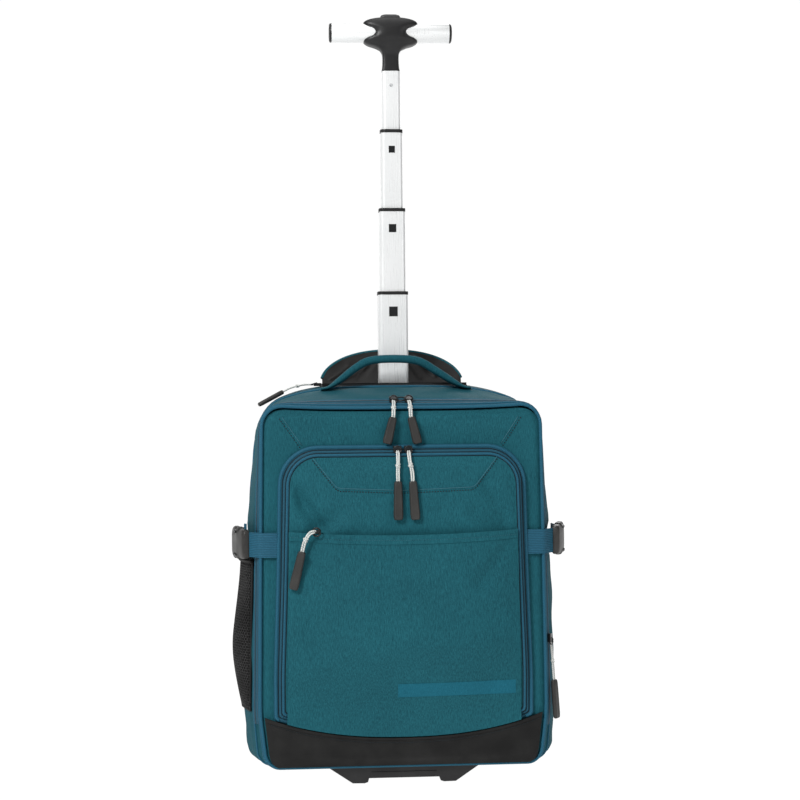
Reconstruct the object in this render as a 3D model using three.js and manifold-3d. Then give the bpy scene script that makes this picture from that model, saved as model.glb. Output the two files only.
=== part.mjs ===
// A wheeled backpack: a soft two-compartment bag on a stand and two wheels, with a
// four-tube telescopic pole that ends in a T-handle.
// Millimetres, +Z up, the front of the bag faces -Y, the middle of the bag is x = 0.
import * as THREE from 'three';
import { mergeVertices } from 'three/addons/utils/BufferGeometryUtils.js';
import Module from 'manifold-3d';

const wasm = await Module();
wasm.setup();

// Gaps and walls
const gap = 0.3;
const clothWall = 2;
const panelWall = 3;
const webbingWall = 1.6;
const mouldedWall = 2.6;

// The bag's body. Depths run back from the face of the front panel.
const bagBottom = 21;
const mainDepth = 98;
const rearBottom = 70;
const bodyHalf = 178;
const panelHalf = 156.5;
const frontTop = 410;
const rearTop = 446;
const crownDrop = 26;
const crownPower = 3.5;
const bodyCornerTop = 26;
const panelCornerTop = 24;
const cornerBottom = 15;

// The front pocket, its slip pocket and the base guard
const pocketHalf = 143;
const pocketTop = 373;
const pocketCorner = 45;
const pocketBand = 13;
const bandDepth = 13;
const pocketCrown = 13;
const slipTop = 276;
const slipSlack = 5;
const guardMiddle = 52;
const guardRise = 24;
const guardHalf = 153;
const guardBulge = 5;

// Zips
const zipTape = 7.4;
const zipHeight = 1.2;
const mainZipDepth = 8.3;
const frontZipInset = 3.2;
const frontZipWidth = 6.4;
const zipFoot = 84;

// The well that takes the T-handle, its flap, and the carry handle
const wellDepth = 44;
const wellHalf = 84;
const wellFloor = 380;
const wellWall = 1.6;
const flapHalf = 84;
const flapHeight = 40;
const flapLean = 21;
const flapBelly = 5;
const flapWall = 2.4;
const liningWall = 1.2;
const carrySetback = 10;
const carryRise = 34;
const carryHalf = 86;

// The telescopic pole
const poleSetback = 30.5;
const poleBackRoom = 15.5;
const tubeWall = 1.2;
const collarHeight = 3.5;
const collarProud = 0.6;
const tubeOverlap = 60;
const housingTop = 385;
const housingCollar = 3;
const housingWidth = 40;
const housingDepth = 32;
const housingWall = 1.6;
const tubeCorner = 5;
const tubeTable = [
  { name: '4', width: 34.5, depth: 27, top: 545.5, windowWide: 10.6, windowHigh: 12 },
  { name: '3', width: 29.8, depth: 22.4, top: 643, windowWide: 9.3, windowHigh: 10 },
  { name: '2', width: 25.3, depth: 18, top: 735.5, windowWide: 7.8, windowHigh: 8.6 },
  { name: '1', width: 21.5, depth: 14.4, top: 808, windowWide: 0, windowHigh: 0 },
];
const windowDrop = 20;

// The T-handle
const gripAxis = 853;
const gripRadius = 11.25;
const gripWall = 1.5;
const gripSpan = 144.4;
const capThick = 2.8;
const hubHalf = 31.8;
const hubWaist = 20.2;
const hubHeight = 35;
const hubDepth = 31;
const neckHalf = 9.5;
const buttonHalf = 12.3;
const buttonDepth = 14;
const buttonProud = 4;
const buttonTravel = 2;

// Wheels, bracket and stand
const wheelRadius = 33;
const wheelWidth = 23;
const wheelSide = 112;
const wheelSetback = 52;
const axleRadius = 3;
const treadWall = 7;
const bracketHalf = 140;
const bracketSetback = 4;
const bracketDepth = 70;
const cheekRadius = 17;
const standFront = 6;
const standDepth = 22;
const standTopHalf = 87;
const standFootOuter = 58;
const standFootInner = 39;
const barBottom = 5.5;
const barTop = 18.7;

// The back, the straps and the side pocket
const padWall = 11;
const padHalf = 138;
const padBottom = 84;
const padTop = 424;
const padCornerLow = 30;
const padCornerHigh = 40;
const padEdge = 8;
const strapSpread = 62;
const strapWidth = 62;
const strapWall = 12;
const strapDrop = 205;
const strapSway = 26;
const strapTailFoot = 98;
const strapTailSpread = 118;
const strapTailWidth = 25;
const webbingWidth = 27;
const webbingMiddle = 264.5;
const buckleLength = 50;
const buckleHeight = 37;
const buckleThick = 11;
const buckleTurn = 74;
const buckleOut = 10;
const buckleBack = 23.5;
const meshTop = 245;
const meshBottom = 80;
const meshBulge = 13.5;
const meshMouth = 6;
const meshFront = 24;
const meshBack = 94;
const meshWall = 1.2;

// Zip pulls
const pullCord = 4.4;
const pullWidth = 11;
const pullThick = 6;
const sliderLong = 9;
const sliderWide = 8;
const sliderHigh = 3.6;

// Places that follow from the sizes above
const poleDepth = mainDepth + poleSetback;
const rearDepth = poleSetback + housingDepth / 2 + poleBackRoom;
const wellFront = poleDepth - wellDepth / 2;
const carryDepth = mainDepth - carrySetback;
const wheelDepth = mainDepth + wheelSetback;
const bracketFront = mainDepth + bracketSetback;
const bracketBack = bracketFront + bracketDepth;

const teal = { color: 0x256670, roughness: 0.85, metalness: 0 };
const piping = { color: 0x2a6683, roughness: 0.75, metalness: 0 };
const black = { color: 0x232323, roughness: 0.6, metalness: 0 };
const charcoal = { color: 0x45433f, roughness: 0.55, metalness: 0 };
const silver = { color: 0xd9dbdb, roughness: 0.3, metalness: 0.9 };
const cordWhite = { color: 0xdadcd6, roughness: 0.8, metalness: 0 };

const lerp = THREE.MathUtils.lerp;
const clamp = THREE.MathUtils.clamp;
const smooth = (x, a, b) => THREE.MathUtils.smoothstep(x, a, b);

const bag = new THREE.Group();
// The frame's origin lies under the middle of the whole object's box.
const strapReach = mainDepth + rearDepth + gap + padWall + gap + strapWall;
const frontReach = bandDepth + pocketCrown + slipSlack + clothWall;
bag.position.y = -(strapReach - frontReach) / 2;

function addPiece(name, geometry, look) {
  const mesh = new THREE.Mesh(geometry, new THREE.MeshStandardMaterial(look));
  mesh.name = name;
  bag.add(mesh);
  return mesh;
}

// A value read from a table of rows [share, value], straight between rows.
function fromTable(rows, share) {
  const last = rows.length - 1;
  for (let i = 0; i < last; i++) {
    const [a, low] = rows[i];
    const [b, high] = rows[i + 1];
    if (share <= b) return lerp(low, high, clamp((share - a) / (b - a), 0, 1));
  }
  return rows[last][1];
}

function signedVolume(points, faces) {
  let sum = 0;
  for (const [a, b, c] of faces) {
    sum += points[a].dot(new THREE.Vector3().crossVectors(points[b], points[c]));
  }
  return sum / 6;
}

function closedBody(points, faces) {
  const outward = signedVolume(points, faces) > 0;
  const index = faces.flatMap(([a, b, c]) => (outward ? [a, b, c] : [a, c, b]));
  const geometry = new THREE.BufferGeometry().setFromPoints(points);
  geometry.setIndex(index);
  return geometry;
}

// A body through a row of rings with as many points each. Its ends are capped, or,
// where the row closes on itself, its last ring joins its first.
function loft(rings, closes = false) {
  const count = rings[0].length;
  const points = rings.flat();
  const faces = [];
  const bands = closes ? rings.length : rings.length - 1;
  for (let r = 0; r < bands; r++) {
    const low = r * count;
    const high = ((r + 1) % rings.length) * count;
    for (let i = 0; i < count; i++) {
      const j = (i + 1) % count;
      faces.push([low + i, low + j, high + j], [low + i, high + j, high + i]);
    }
  }
  if (!closes) {
    capRing(rings[0], 0, false, faces);
    capRing(rings.at(-1), (rings.length - 1) * count, true, faces);
  }
  return closedBody(points, faces);
}

function capRing(ring, offset, ahead, faces) {
  const normal = new THREE.Vector3();
  for (let i = 0; i < ring.length; i++) {
    normal.add(new THREE.Vector3().crossVectors(ring[i], ring[(i + 1) % ring.length]));
  }
  const turn = new THREE.Quaternion().setFromUnitVectors(
    normal.normalize(), new THREE.Vector3(0, 0, 1));
  const flat = ring.map((p) => {
    const q = p.clone().applyQuaternion(turn);
    return new THREE.Vector2(q.x, q.y);
  });
  for (const [a, b, c] of THREE.ShapeUtils.triangulateShape(flat, [])) {
    faces.push(ahead ? [offset + a, offset + b, offset + c] : [offset + a, offset + c, offset + b]);
  }
}

// A body between two surfaces over the same grid, closed along its four edges.
function slab(across, up, outer, inner) {
  const points = [];
  const faces = [];
  for (const surface of [outer, inner]) {
    for (let j = 0; j <= up; j++) {
      for (let i = 0; i <= across; i++) points.push(surface(i / across, j / up));
    }
  }
  const wide = across + 1;
  const back = wide * (up + 1);
  for (let j = 0; j < up; j++) {
    for (let i = 0; i < across; i++) {
      const a = j * wide + i;
      faces.push([a, a + 1, a + wide + 1], [a, a + wide + 1, a + wide]);
      const b = a + back;
      faces.push([b, b + wide + 1, b + 1], [b, b + wide, b + wide + 1]);
    }
  }
  const rim = [];
  for (let i = 0; i < across; i++) rim.push(i);
  for (let j = 0; j < up; j++) rim.push(j * wide + across);
  for (let i = across; i > 0; i--) rim.push(up * wide + i);
  for (let j = up; j > 0; j--) rim.push(j * wide);
  rim.forEach((a, k) => {
    const b = rim[(k + 1) % rim.length];
    faces.push([a, back + a, back + b], [a, back + b, b]);
  });
  return closedBody(points, faces);
}

function toSolid(geometry) {
  const plain = geometry.clone();
  plain.deleteAttribute('normal');
  plain.deleteAttribute('uv');
  const merged = mergeVertices(plain, 1e-4);
  const kept = [];
  for (let i = 0; i < merged.index.count; i += 3) {
    const [a, b, c] = merged.index.array.slice(i, i + 3);
    if (a !== b && b !== c && c !== a) kept.push(a, b, c);
  }
  return new wasm.Manifold(new wasm.Mesh({
    numProp: 3,
    vertProperties: new Float32Array(merged.attributes.position.array),
    triVerts: new Uint32Array(kept),
  }));
}

function fromSolid(solid) {
  const mesh = solid.getMesh();
  const geometry = new THREE.BufferGeometry();
  geometry.setAttribute('position', new THREE.BufferAttribute(mesh.vertProperties, 3));
  geometry.setIndex(new THREE.BufferAttribute(mesh.triVerts, 1));
  return geometry;
}

function joined(geometries) {
  return fromSolid(geometries.map(toSolid).reduce((all, next) => all.add(next)));
}

function cutBy(geometry, tools) {
  return fromSolid(tools.map(toSolid).reduce((all, next) => all.subtract(next), toSolid(geometry)));
}

function block(low, high) {
  const size = high.map((v, i) => v - low[i]);
  const geometry = new THREE.BoxGeometry(...size);
  geometry.translate(...low.map((v, i) => v + size[i] / 2));
  return geometry;
}

// Outline shares: [sideways, upwards] from the middle of the bottom edge, right way round.
function outlineShares(half, height, lowCorner, highCorner, edge, arc, side) {
  const right = [];
  for (let i = 0; i < edge; i++) right.push([(i / edge) * (half - lowCorner), 0]);
  for (let i = 0; i <= arc; i++) {
    const angle = (i / arc - 1) * Math.PI / 2;
    right.push([half - lowCorner + lowCorner * Math.cos(angle), lowCorner + lowCorner * Math.sin(angle)]);
  }
  for (let i = 1; i < side; i++) right.push([half, lerp(lowCorner, height - highCorner, i / side)]);
  for (let i = 0; i <= arc; i++) {
    const angle = (i / arc) * Math.PI / 2;
    const [x, z] = [highCorner * Math.cos(angle), highCorner * Math.sin(angle)];
    right.push([half - highCorner + x, height - highCorner + z]);
  }
  for (let i = edge - 1; i >= 0; i--) right.push([(i / edge) * (half - highCorner), height]);
  const left = right.slice(1, -1).reverse().map(([x, z]) => [-x, z]);
  return [...right, ...left].map(([x, z]) => [x / half, z / height]);
}

// Half widths up the bag, as shares of the widest one.
const bodyWidths = [[0, 0.985], [0.15, 1], [0.5, 0.972], [0.75, 0.95], [0.9, 0.92], [1, 0.875]];
const panelWidths = [[0, 0.955], [0.15, 1], [0.5, 0.99], [1, 0.975]];

// Sections of the two compartments. bulge goes from the panel's outline (0) to the
// body's (1), and tuck draws the section in at a rounded edge.
const mainSections = [
  { share: 0, bulge: 0, tuck: 0, crown: -0.2 },
  { share: 0.08, bulge: 0.17, tuck: 0, crown: 0 },
  { share: 0.165, bulge: 0.36, tuck: 0, crown: 0.2 },
  { share: 0.32, bulge: 0.65, tuck: 0, crown: 0.5 },
  { share: 0.56, bulge: 0.94, tuck: 0, crown: 0.75 },
  { share: 0.82, bulge: 1, tuck: 0, crown: 0.85 },
  { share: 1, bulge: 0.85, tuck: 1, crown: 0.92 },
];
const rearSections = [
  { share: 0, bulge: 0.85, tuck: 1, crown: 0.92 },
  { share: 0.22, bulge: 0.93, tuck: 0, crown: 0.95 },
  { share: 0.55, bulge: 0.86, tuck: 0.5, crown: 1 },
  { share: 0.82, bulge: 0.6, tuck: 3, crown: 1 },
  { share: 1, bulge: 0.15, tuck: 10, crown: 1 },
];

// Height of the bag's top over its middle line, and how far it drops at its sides.
function ridgeAt(depth) {
  return lerp(frontTop, rearTop, Math.sqrt(clamp(depth / (mainDepth + rearDepth), 0, 1)));
}

// One section of the bag's body at a depth from its face, drawn in by an inset.
function bodyRing(depth, section, bottom, inset) {
  const tuck = inset + section.tuck;
  const top = ridgeAt(depth) - tuck;
  const crown = crownDrop * section.crown;
  const corner = lerp(panelCornerTop, bodyCornerTop, section.bulge);
  const floor = bottom + tuck;
  const half = lerp(panelHalf, bodyHalf, section.bulge);
  return outlineShares(half, top - floor, cornerBottom, corner, 4, 3, 5).map(([s, t]) => {
    const [flat, full] = [panelHalf * fromTable(panelWidths, t), bodyHalf * fromTable(bodyWidths, t)];
    const wide = lerp(flat, full, section.bulge);
    const roof = top - crown * Math.abs(s) ** crownPower;
    return new THREE.Vector3(s * (wide - tuck), depth, lerp(floor, roof, t));
  });
}

function sectionAt(sections, share) {
  const read = (key) => fromTable(sections.map((row) => [row.share, row[key]]), share);
  return { bulge: read('bulge'), tuck: read('tuck'), crown: read('crown') };
}

function mainRing(depth, inset) {
  return bodyRing(depth, sectionAt(mainSections, depth / mainDepth), bagBottom, inset);
}

// Half width of the main compartment at a depth and a height.
function mainHalfAt(depth, height) {
  const ring = mainRing(depth, 0);
  const side = ring.filter((p) => p.x > panelHalf / 2);
  for (let i = 1; i < side.length; i++) {
    if (side[i].z >= height) {
      const share = (height - side[i - 1].z) / (side[i].z - side[i - 1].z);
      return lerp(side[i - 1].x, side[i].x, share);
    }
  }
  return side.at(-1).x;
}

// A compartment: a cloth tray, open to the front, with its back wall.
function tray(sections, start, depth, bottom) {
  const rings = [];
  const rows = sections.map((row) => ({ ...row, at: start + row.share * depth }));
  for (const row of [...rows].reverse()) {
    const at = row.share === 1 ? row.at - clothWall : row.at;
    rings.push(bodyRing(at, row, bottom, clothWall));
  }
  for (const row of rows) rings.push(bodyRing(row.at, row, bottom, 0));
  return loft(rings);
}

const panelBack = panelWall;
const mainFront = panelBack + gap;
const rearFront = mainDepth + gap;
const rearBack = mainDepth + rearDepth;

function makeBody() {
  const rows = mainSections.map((row) => row.share === 0 ? { ...row, share: mainFront / mainDepth } : row);
  addPiece('main_shell', tray(rows, 0, mainDepth, bagBottom), teal);

  const rear = tray(rearSections, rearFront, rearDepth - gap, rearBottom);
  const wellHole = block(
    [-wellHalf - gap, wellFront - gap, wellFloor - gap],
    [wellHalf + gap, wellFront + wellDepth + gap, rearTop + crownDrop]);
  addPiece('rear_shell', cutBy(rear, [wellHole]), teal);
}

function makeFrontPanel() {
  const ring = (inset, depth) => bodyRing(0, mainSections[0], bagBottom, inset).map((p) => p.setY(depth));
  const rings = [ring(0, panelBack), ring(0, panelBack * 0.6), ring(3, panelBack * 0.1), ring(7, 0)];
  addPiece('front_panel', loft(rings), teal);
}

// The line along which the base guard ends and the front pocket starts.
function guardLine(x) {
  return guardMiddle + guardRise * Math.min(1, Math.abs(x / guardHalf)) ** 2.3;
}

const pocketWidths = [[0, 1], [0.15, 1], [0.55, 0.972], [1, 0.95]];

function pocketRing(inset, surface) {
  const half = pocketHalf - inset;
  const height = pocketTop - guardMiddle - 2 * inset;
  const corner = Math.max(pocketCorner * 0.2, pocketCorner - inset);
  return outlineShares(half, height, 3, corner, 4, 4, 5).map(([s, t]) => {
    const x = s * (pocketHalf * fromTable(pocketWidths, t) - inset);
    const floor = guardLine(x) + gap + inset;
    const z = lerp(floor, pocketTop - inset, t);
    return new THREE.Vector3(x, -surface(x, z), z);
  });
}

// How far the pocket's face stands off the front panel.
function pocketFace(x, z) {
  const across = 1 - Math.abs(x / (pocketHalf - pocketBand)) ** 3;
  const middle = (pocketTop + guardMiddle) / 2;
  const up = 1 - Math.abs((z - middle) / ((pocketTop - guardMiddle) / 2)) ** 3;
  const foot = lerp(0.45, 1, smooth(z, guardMiddle, guardMiddle + 110));
  return (bandDepth + pocketCrown * Math.max(0, across) * Math.max(0, up)) * foot;
}

// The sewn band round the pocket slopes from the panel up to the pocket's face.
function bandFace(inset) {
  return (x, z) => lerp(gap + 1.5, pocketFace(x, z), smooth(inset / pocketBand, 0, 1));
}

function makeFrontPocket() {
  const steps = [1, 0.82, 0.5, 0.16];
  const insets = steps.map((s) => pocketBand + (1 - s) * (pocketHalf - pocketBand - pocketCorner));
  const inner = insets.filter((_, i) => i !== 1).reverse().map((inset) =>
    pocketRing(inset, (x, z) => pocketFace(x, z) - clothWall));
  const rings = [
    ...inner,
    pocketRing(clothWall, () => gap),
    pocketRing(0, () => gap),
    pocketRing(0, () => gap + 1.5),
    ...[frontZipInset, frontZipInset + frontZipWidth].map((inset) => pocketRing(inset, bandFace(inset))),
    ...insets.map((inset) => pocketRing(inset, pocketFace)),
  ];
  addPiece('front_pocket', loft(rings), teal);
}

function makeSlipPocket() {
  const half = pocketHalf - pocketBand - 1.5;
  const point = (lift) => (u, v) => {
    const t = v;
    const width = half * lerp(1, 0.975, t);
    const x = (2 * u - 1) * width;
    const sag = 4 * Math.abs(2 * u - 1) ** 2;
    const z = lerp(guardLine(x) + gap + 1, slipTop + sag, t);
    const slack = slipSlack * (1 - Math.abs(2 * u - 1) ** 2.4) * smooth(t, 0.15, 1);
    return new THREE.Vector3(x, -(pocketFace(x, z) + 3 * gap + slack + lift), z);
  };
  addPiece('slip_pocket', slab(12, 7, point(clothWall * 0.8), point(0)), teal);
}

// Half widths up the base guard, as shares of its widest: its lower corners are round.
const guardWidths = [[0, 0.905], [0.06, 0.94], [0.16, 0.962], [0.3, 0.972], [1, 1]];

function makeBaseGuard() {
  const point = (outer) => (u, v) => {
    const side = 2 * u - 1;
    const t = v ** 1.7;
    const x = side * guardHalf * fromTable(guardWidths, t);
    const z = lerp(bagBottom, guardLine(x), t);
    const round = (1 - side ** 6) * smooth(t, 0, 0.35);
    const bulge = gap + clothWall + guardBulge * round;
    return new THREE.Vector3(x, outer ? -bulge : -Math.max(gap, bulge - clothWall), z);
  };
  addPiece('base_guard', slab(14, 5, point(true), point(false)), black);
}

// A band that follows part of a row of rings, from one point of the ring to another.
function bandAlong(outer, inner, first, last) {
  const span = last - first;
  const pick = (pair) => (u, v) => pair[Math.round(v)][first + Math.round(u * span)].clone();
  return slab(span, 1, pick(outer), pick(inner));
}

function makeZips() {
  const sides = [mainZipDepth, mainZipDepth + zipTape].map((depth) =>
    [mainRing(depth, -gap - zipHeight), mainRing(depth, -gap)]);
  const start = sides[0][0].findIndex((p) => p.z > zipFoot);
  const outer = sides.map((pair) => pair[0]);
  const inner = sides.map((pair) => pair[1]);
  addPiece('main_zip', bandAlong(outer, inner, start, outer[0].length - start), piping);

  const raised = [frontZipInset, frontZipInset + frontZipWidth].map((inset) => {
    const face = bandFace(inset);
    return [gap + zipHeight, gap].map((lift) => pocketRing(inset, (x, z) => face(x, z) + lift));
  });
  const foot = raised[0][0].findIndex((p) => p.z > zipFoot);
  const high = raised.map((pair) => pair[0]);
  const low = raised.map((pair) => pair[1]);
  addPiece('front_zip', bandAlong(high, low, foot, high[0].length - foot), piping);
}

// Height of the bag's top at a depth and sideways place.
function roofAt(depth, x) {
  const inMain = depth < mainDepth;
  const section = inMain
    ? sectionAt(mainSections, depth / mainDepth)
    : sectionAt(rearSections, (depth - mainDepth) / rearDepth);
  const half = lerp(panelHalf, bodyHalf * bodyWidths.at(-1)[1], section.bulge);
  return ridgeAt(depth) - section.tuck - crownDrop * section.crown * Math.abs(x / half) ** crownPower;
}

function makeWell() {
  const rim = rearTop - 4;
  const outer = block([-wellHalf, wellFront, wellFloor], [wellHalf, wellFront + wellDepth, rim]);
  const inner = block(
    [-wellHalf + wellWall, wellFront + wellWall, wellFloor + wellWall],
    [wellHalf - wellWall, wellFront + wellDepth - wellWall, rim + 1]);
  const poleHole = block(
    [-housingWidth / 2 - gap, poleDepth - housingDepth / 2 - gap, wellFloor - 1],
    [housingWidth / 2 + gap, poleDepth + housingDepth / 2 + gap, wellFloor + wellWall + 1]);
  addPiece('handle_well', cutBy(outer, [inner, poleHole]), black);
}

function makeFlap() {
  const base = wellFront + wellDepth + 1;
  const point = (from) => (u, v) => {
    const side = (2 * u - 1) * 0.985;
    const x = side * flapHalf;
    const arch = flapHeight * Math.sqrt(1 - Math.abs(side) ** 2.2);
    const foot = roofAt(base + 2, 0) + gap + 1.6;
    const belly = flapBelly * (1 - side * side) * Math.sin(v * Math.PI * 0.6);
    const y = base + from + flapLean * v * (arch / flapHeight) + belly;
    return new THREE.Vector3(x, y, foot + v * arch);
  };
  addPiece('flap_lining', slab(14, 4, point(0), point(liningWall)), black);
  addPiece('top_flap', slab(14, 4, point(liningWall + gap), point(liningWall + gap + flapWall)), teal);
}

// Rows along the carry handle: place sideways and rise as shares, its width and thickness.
const carryRows = [
  { side: -1, rise: 0, wide: 24, thick: 4 },
  { side: -0.9, rise: 0.05, wide: 24, thick: 5 },
  { side: -0.75, rise: 0.29, wide: 20, thick: 8 },
  { side: -0.52, rise: 0.73, wide: 15, thick: 9 },
  { side: -0.33, rise: 0.95, wide: 13, thick: 9 },
  { side: 0, rise: 1, wide: 13, thick: 9 },
  { side: 0.3, rise: 0.92, wide: 13, thick: 9 },
  { side: 0.53, rise: 0.6, wide: 15, thick: 9 },
  { side: 0.75, rise: 0.25, wide: 20, thick: 8 },
  { side: 0.9, rise: 0.05, wide: 24, thick: 5 },
  { side: 1, rise: 0, wide: 24, thick: 4 },
];

function makeCarryHandle() {
  const foot = roofAt(carryDepth, carryHalf) + gap + 1.7;
  const middle = carryRows.map((row) =>
    new THREE.Vector3(row.side * carryHalf, carryDepth - 4 * row.rise, foot + row.rise * carryRise));
  const rings = carryRows.map((row, i) => {
    const before = middle[Math.max(0, i - 1)];
    const after = middle[Math.min(middle.length - 1, i + 1)];
    const along = after.clone().sub(before).normalize();
    const up = new THREE.Vector3(-along.z, 0, along.x);
    return Array.from({ length: 10 }, (_, k) => {
      const angle = (k / 10) * 2 * Math.PI;
      return middle[i].clone()
        .addScaledVector(up, Math.sin(angle) * row.thick / 2)
        .add(new THREE.Vector3(0, Math.cos(angle) * row.wide / 2, 0));
    });
  });
  addPiece('carry_handle', loft(rings), teal);
}

function roundedBar(width, depth, corner) {
  const shape = new THREE.Shape();
  const w = width / 2;
  const d = depth / 2;
  const r = Math.min(corner, w * 0.98, d * 0.98);
  shape.moveTo(-w + r, -d);
  shape.lineTo(w - r, -d);
  shape.absarc(w - r, -d + r, r, -Math.PI / 2, 0);
  shape.lineTo(w, d - r);
  shape.absarc(w - r, d - r, r, 0, Math.PI / 2);
  shape.lineTo(-w + r, d);
  shape.absarc(-w + r, d - r, r, Math.PI / 2, Math.PI);
  shape.lineTo(-w, -d + r);
  shape.absarc(-w + r, -d + r, r, Math.PI, Math.PI * 1.5);
  return shape;
}

// A rounded tube that stands on end: outer size, wall, lower and upper end.
function standingTube(width, depth, wall, low, high) {
  const shape = roundedBar(width, depth, tubeCorner);
  shape.holes.push(roundedBar(width - 2 * wall, depth - 2 * wall, tubeCorner - wall));
  const tube = new THREE.ExtrudeGeometry(shape, { depth: high - low, bevelEnabled: false, curveSegments: 2 });
  tube.translate(0, poleDepth, low);
  return tube;
}

function makePole() {
  const back = (poleDepth + housingDepth / 2 - mainDepth) / rearDepth;
  const housingFloor = rearBottom + clothWall + sectionAt(rearSections, back).tuck + 2 * gap;
  const collarWall = (housingWidth - tubeTable[0].width) / 2 - gap;
  const housing = joined([
    standingTube(housingWidth, housingDepth, housingWall, housingFloor, housingTop),
    standingTube(housingWidth, housingDepth, collarWall, housingTop - 0.5, housingTop + housingCollar),
  ]);
  addPiece('pole_housing', housing, black);

  let carrierTop = housingTop - tubeOverlap / 2;
  tubeTable.forEach((row, i) => {
    const bottom = carrierTop - tubeOverlap;
    const tube = standingTube(row.width, row.depth, tubeWall, bottom, row.top - gap);
    carrierTop = row.top;
    const next = tubeTable[i + 1];
    if (!next) {
      addPiece(`pole_tube_${row.name}`, tube, silver);
      return;
    }
    const front = poleDepth - row.depth / 2;
    const middle = row.top - windowDrop;
    const windowBlock = (grow) => block(
      [-row.windowWide / 2 - grow, front - 1 + grow, middle - row.windowHigh / 2 - grow],
      [row.windowWide / 2 + grow, front + 1 - grow + tubeWall, middle + row.windowHigh / 2 + grow]);
    addPiece(`pole_tube_${row.name}`, cutBy(tube, [windowBlock(0)]), silver);
    const lock = block(
      [-row.windowWide / 2 + gap, front - 0.2, middle - row.windowHigh / 2 + gap],
      [row.windowWide / 2 - gap, front + tubeWall, middle + row.windowHigh / 2 - gap]);
    addPiece(`pole_lock_${row.name}`, lock, black);
    const ringWall = (row.width - next.width) / 2 - gap + collarProud;
    const outline = roundedBar(
      row.width + 2 * collarProud, row.depth + 2 * collarProud, tubeCorner + collarProud);
    const collar = new THREE.Shape(outline.getPoints(2));
    const innerCorner = tubeCorner + collarProud - ringWall + 1;
    collar.holes.push(roundedBar(next.width + 2 * gap, next.depth + 2 * gap, innerCorner));
    const ring = new THREE.ExtrudeGeometry(collar, {
      depth: collarHeight, bevelEnabled: false, curveSegments: 2,
    });
    ring.translate(0, poleDepth, row.top);
    addPiece(`pole_collar_${row.name}`, ring, black);
  });
}

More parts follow.
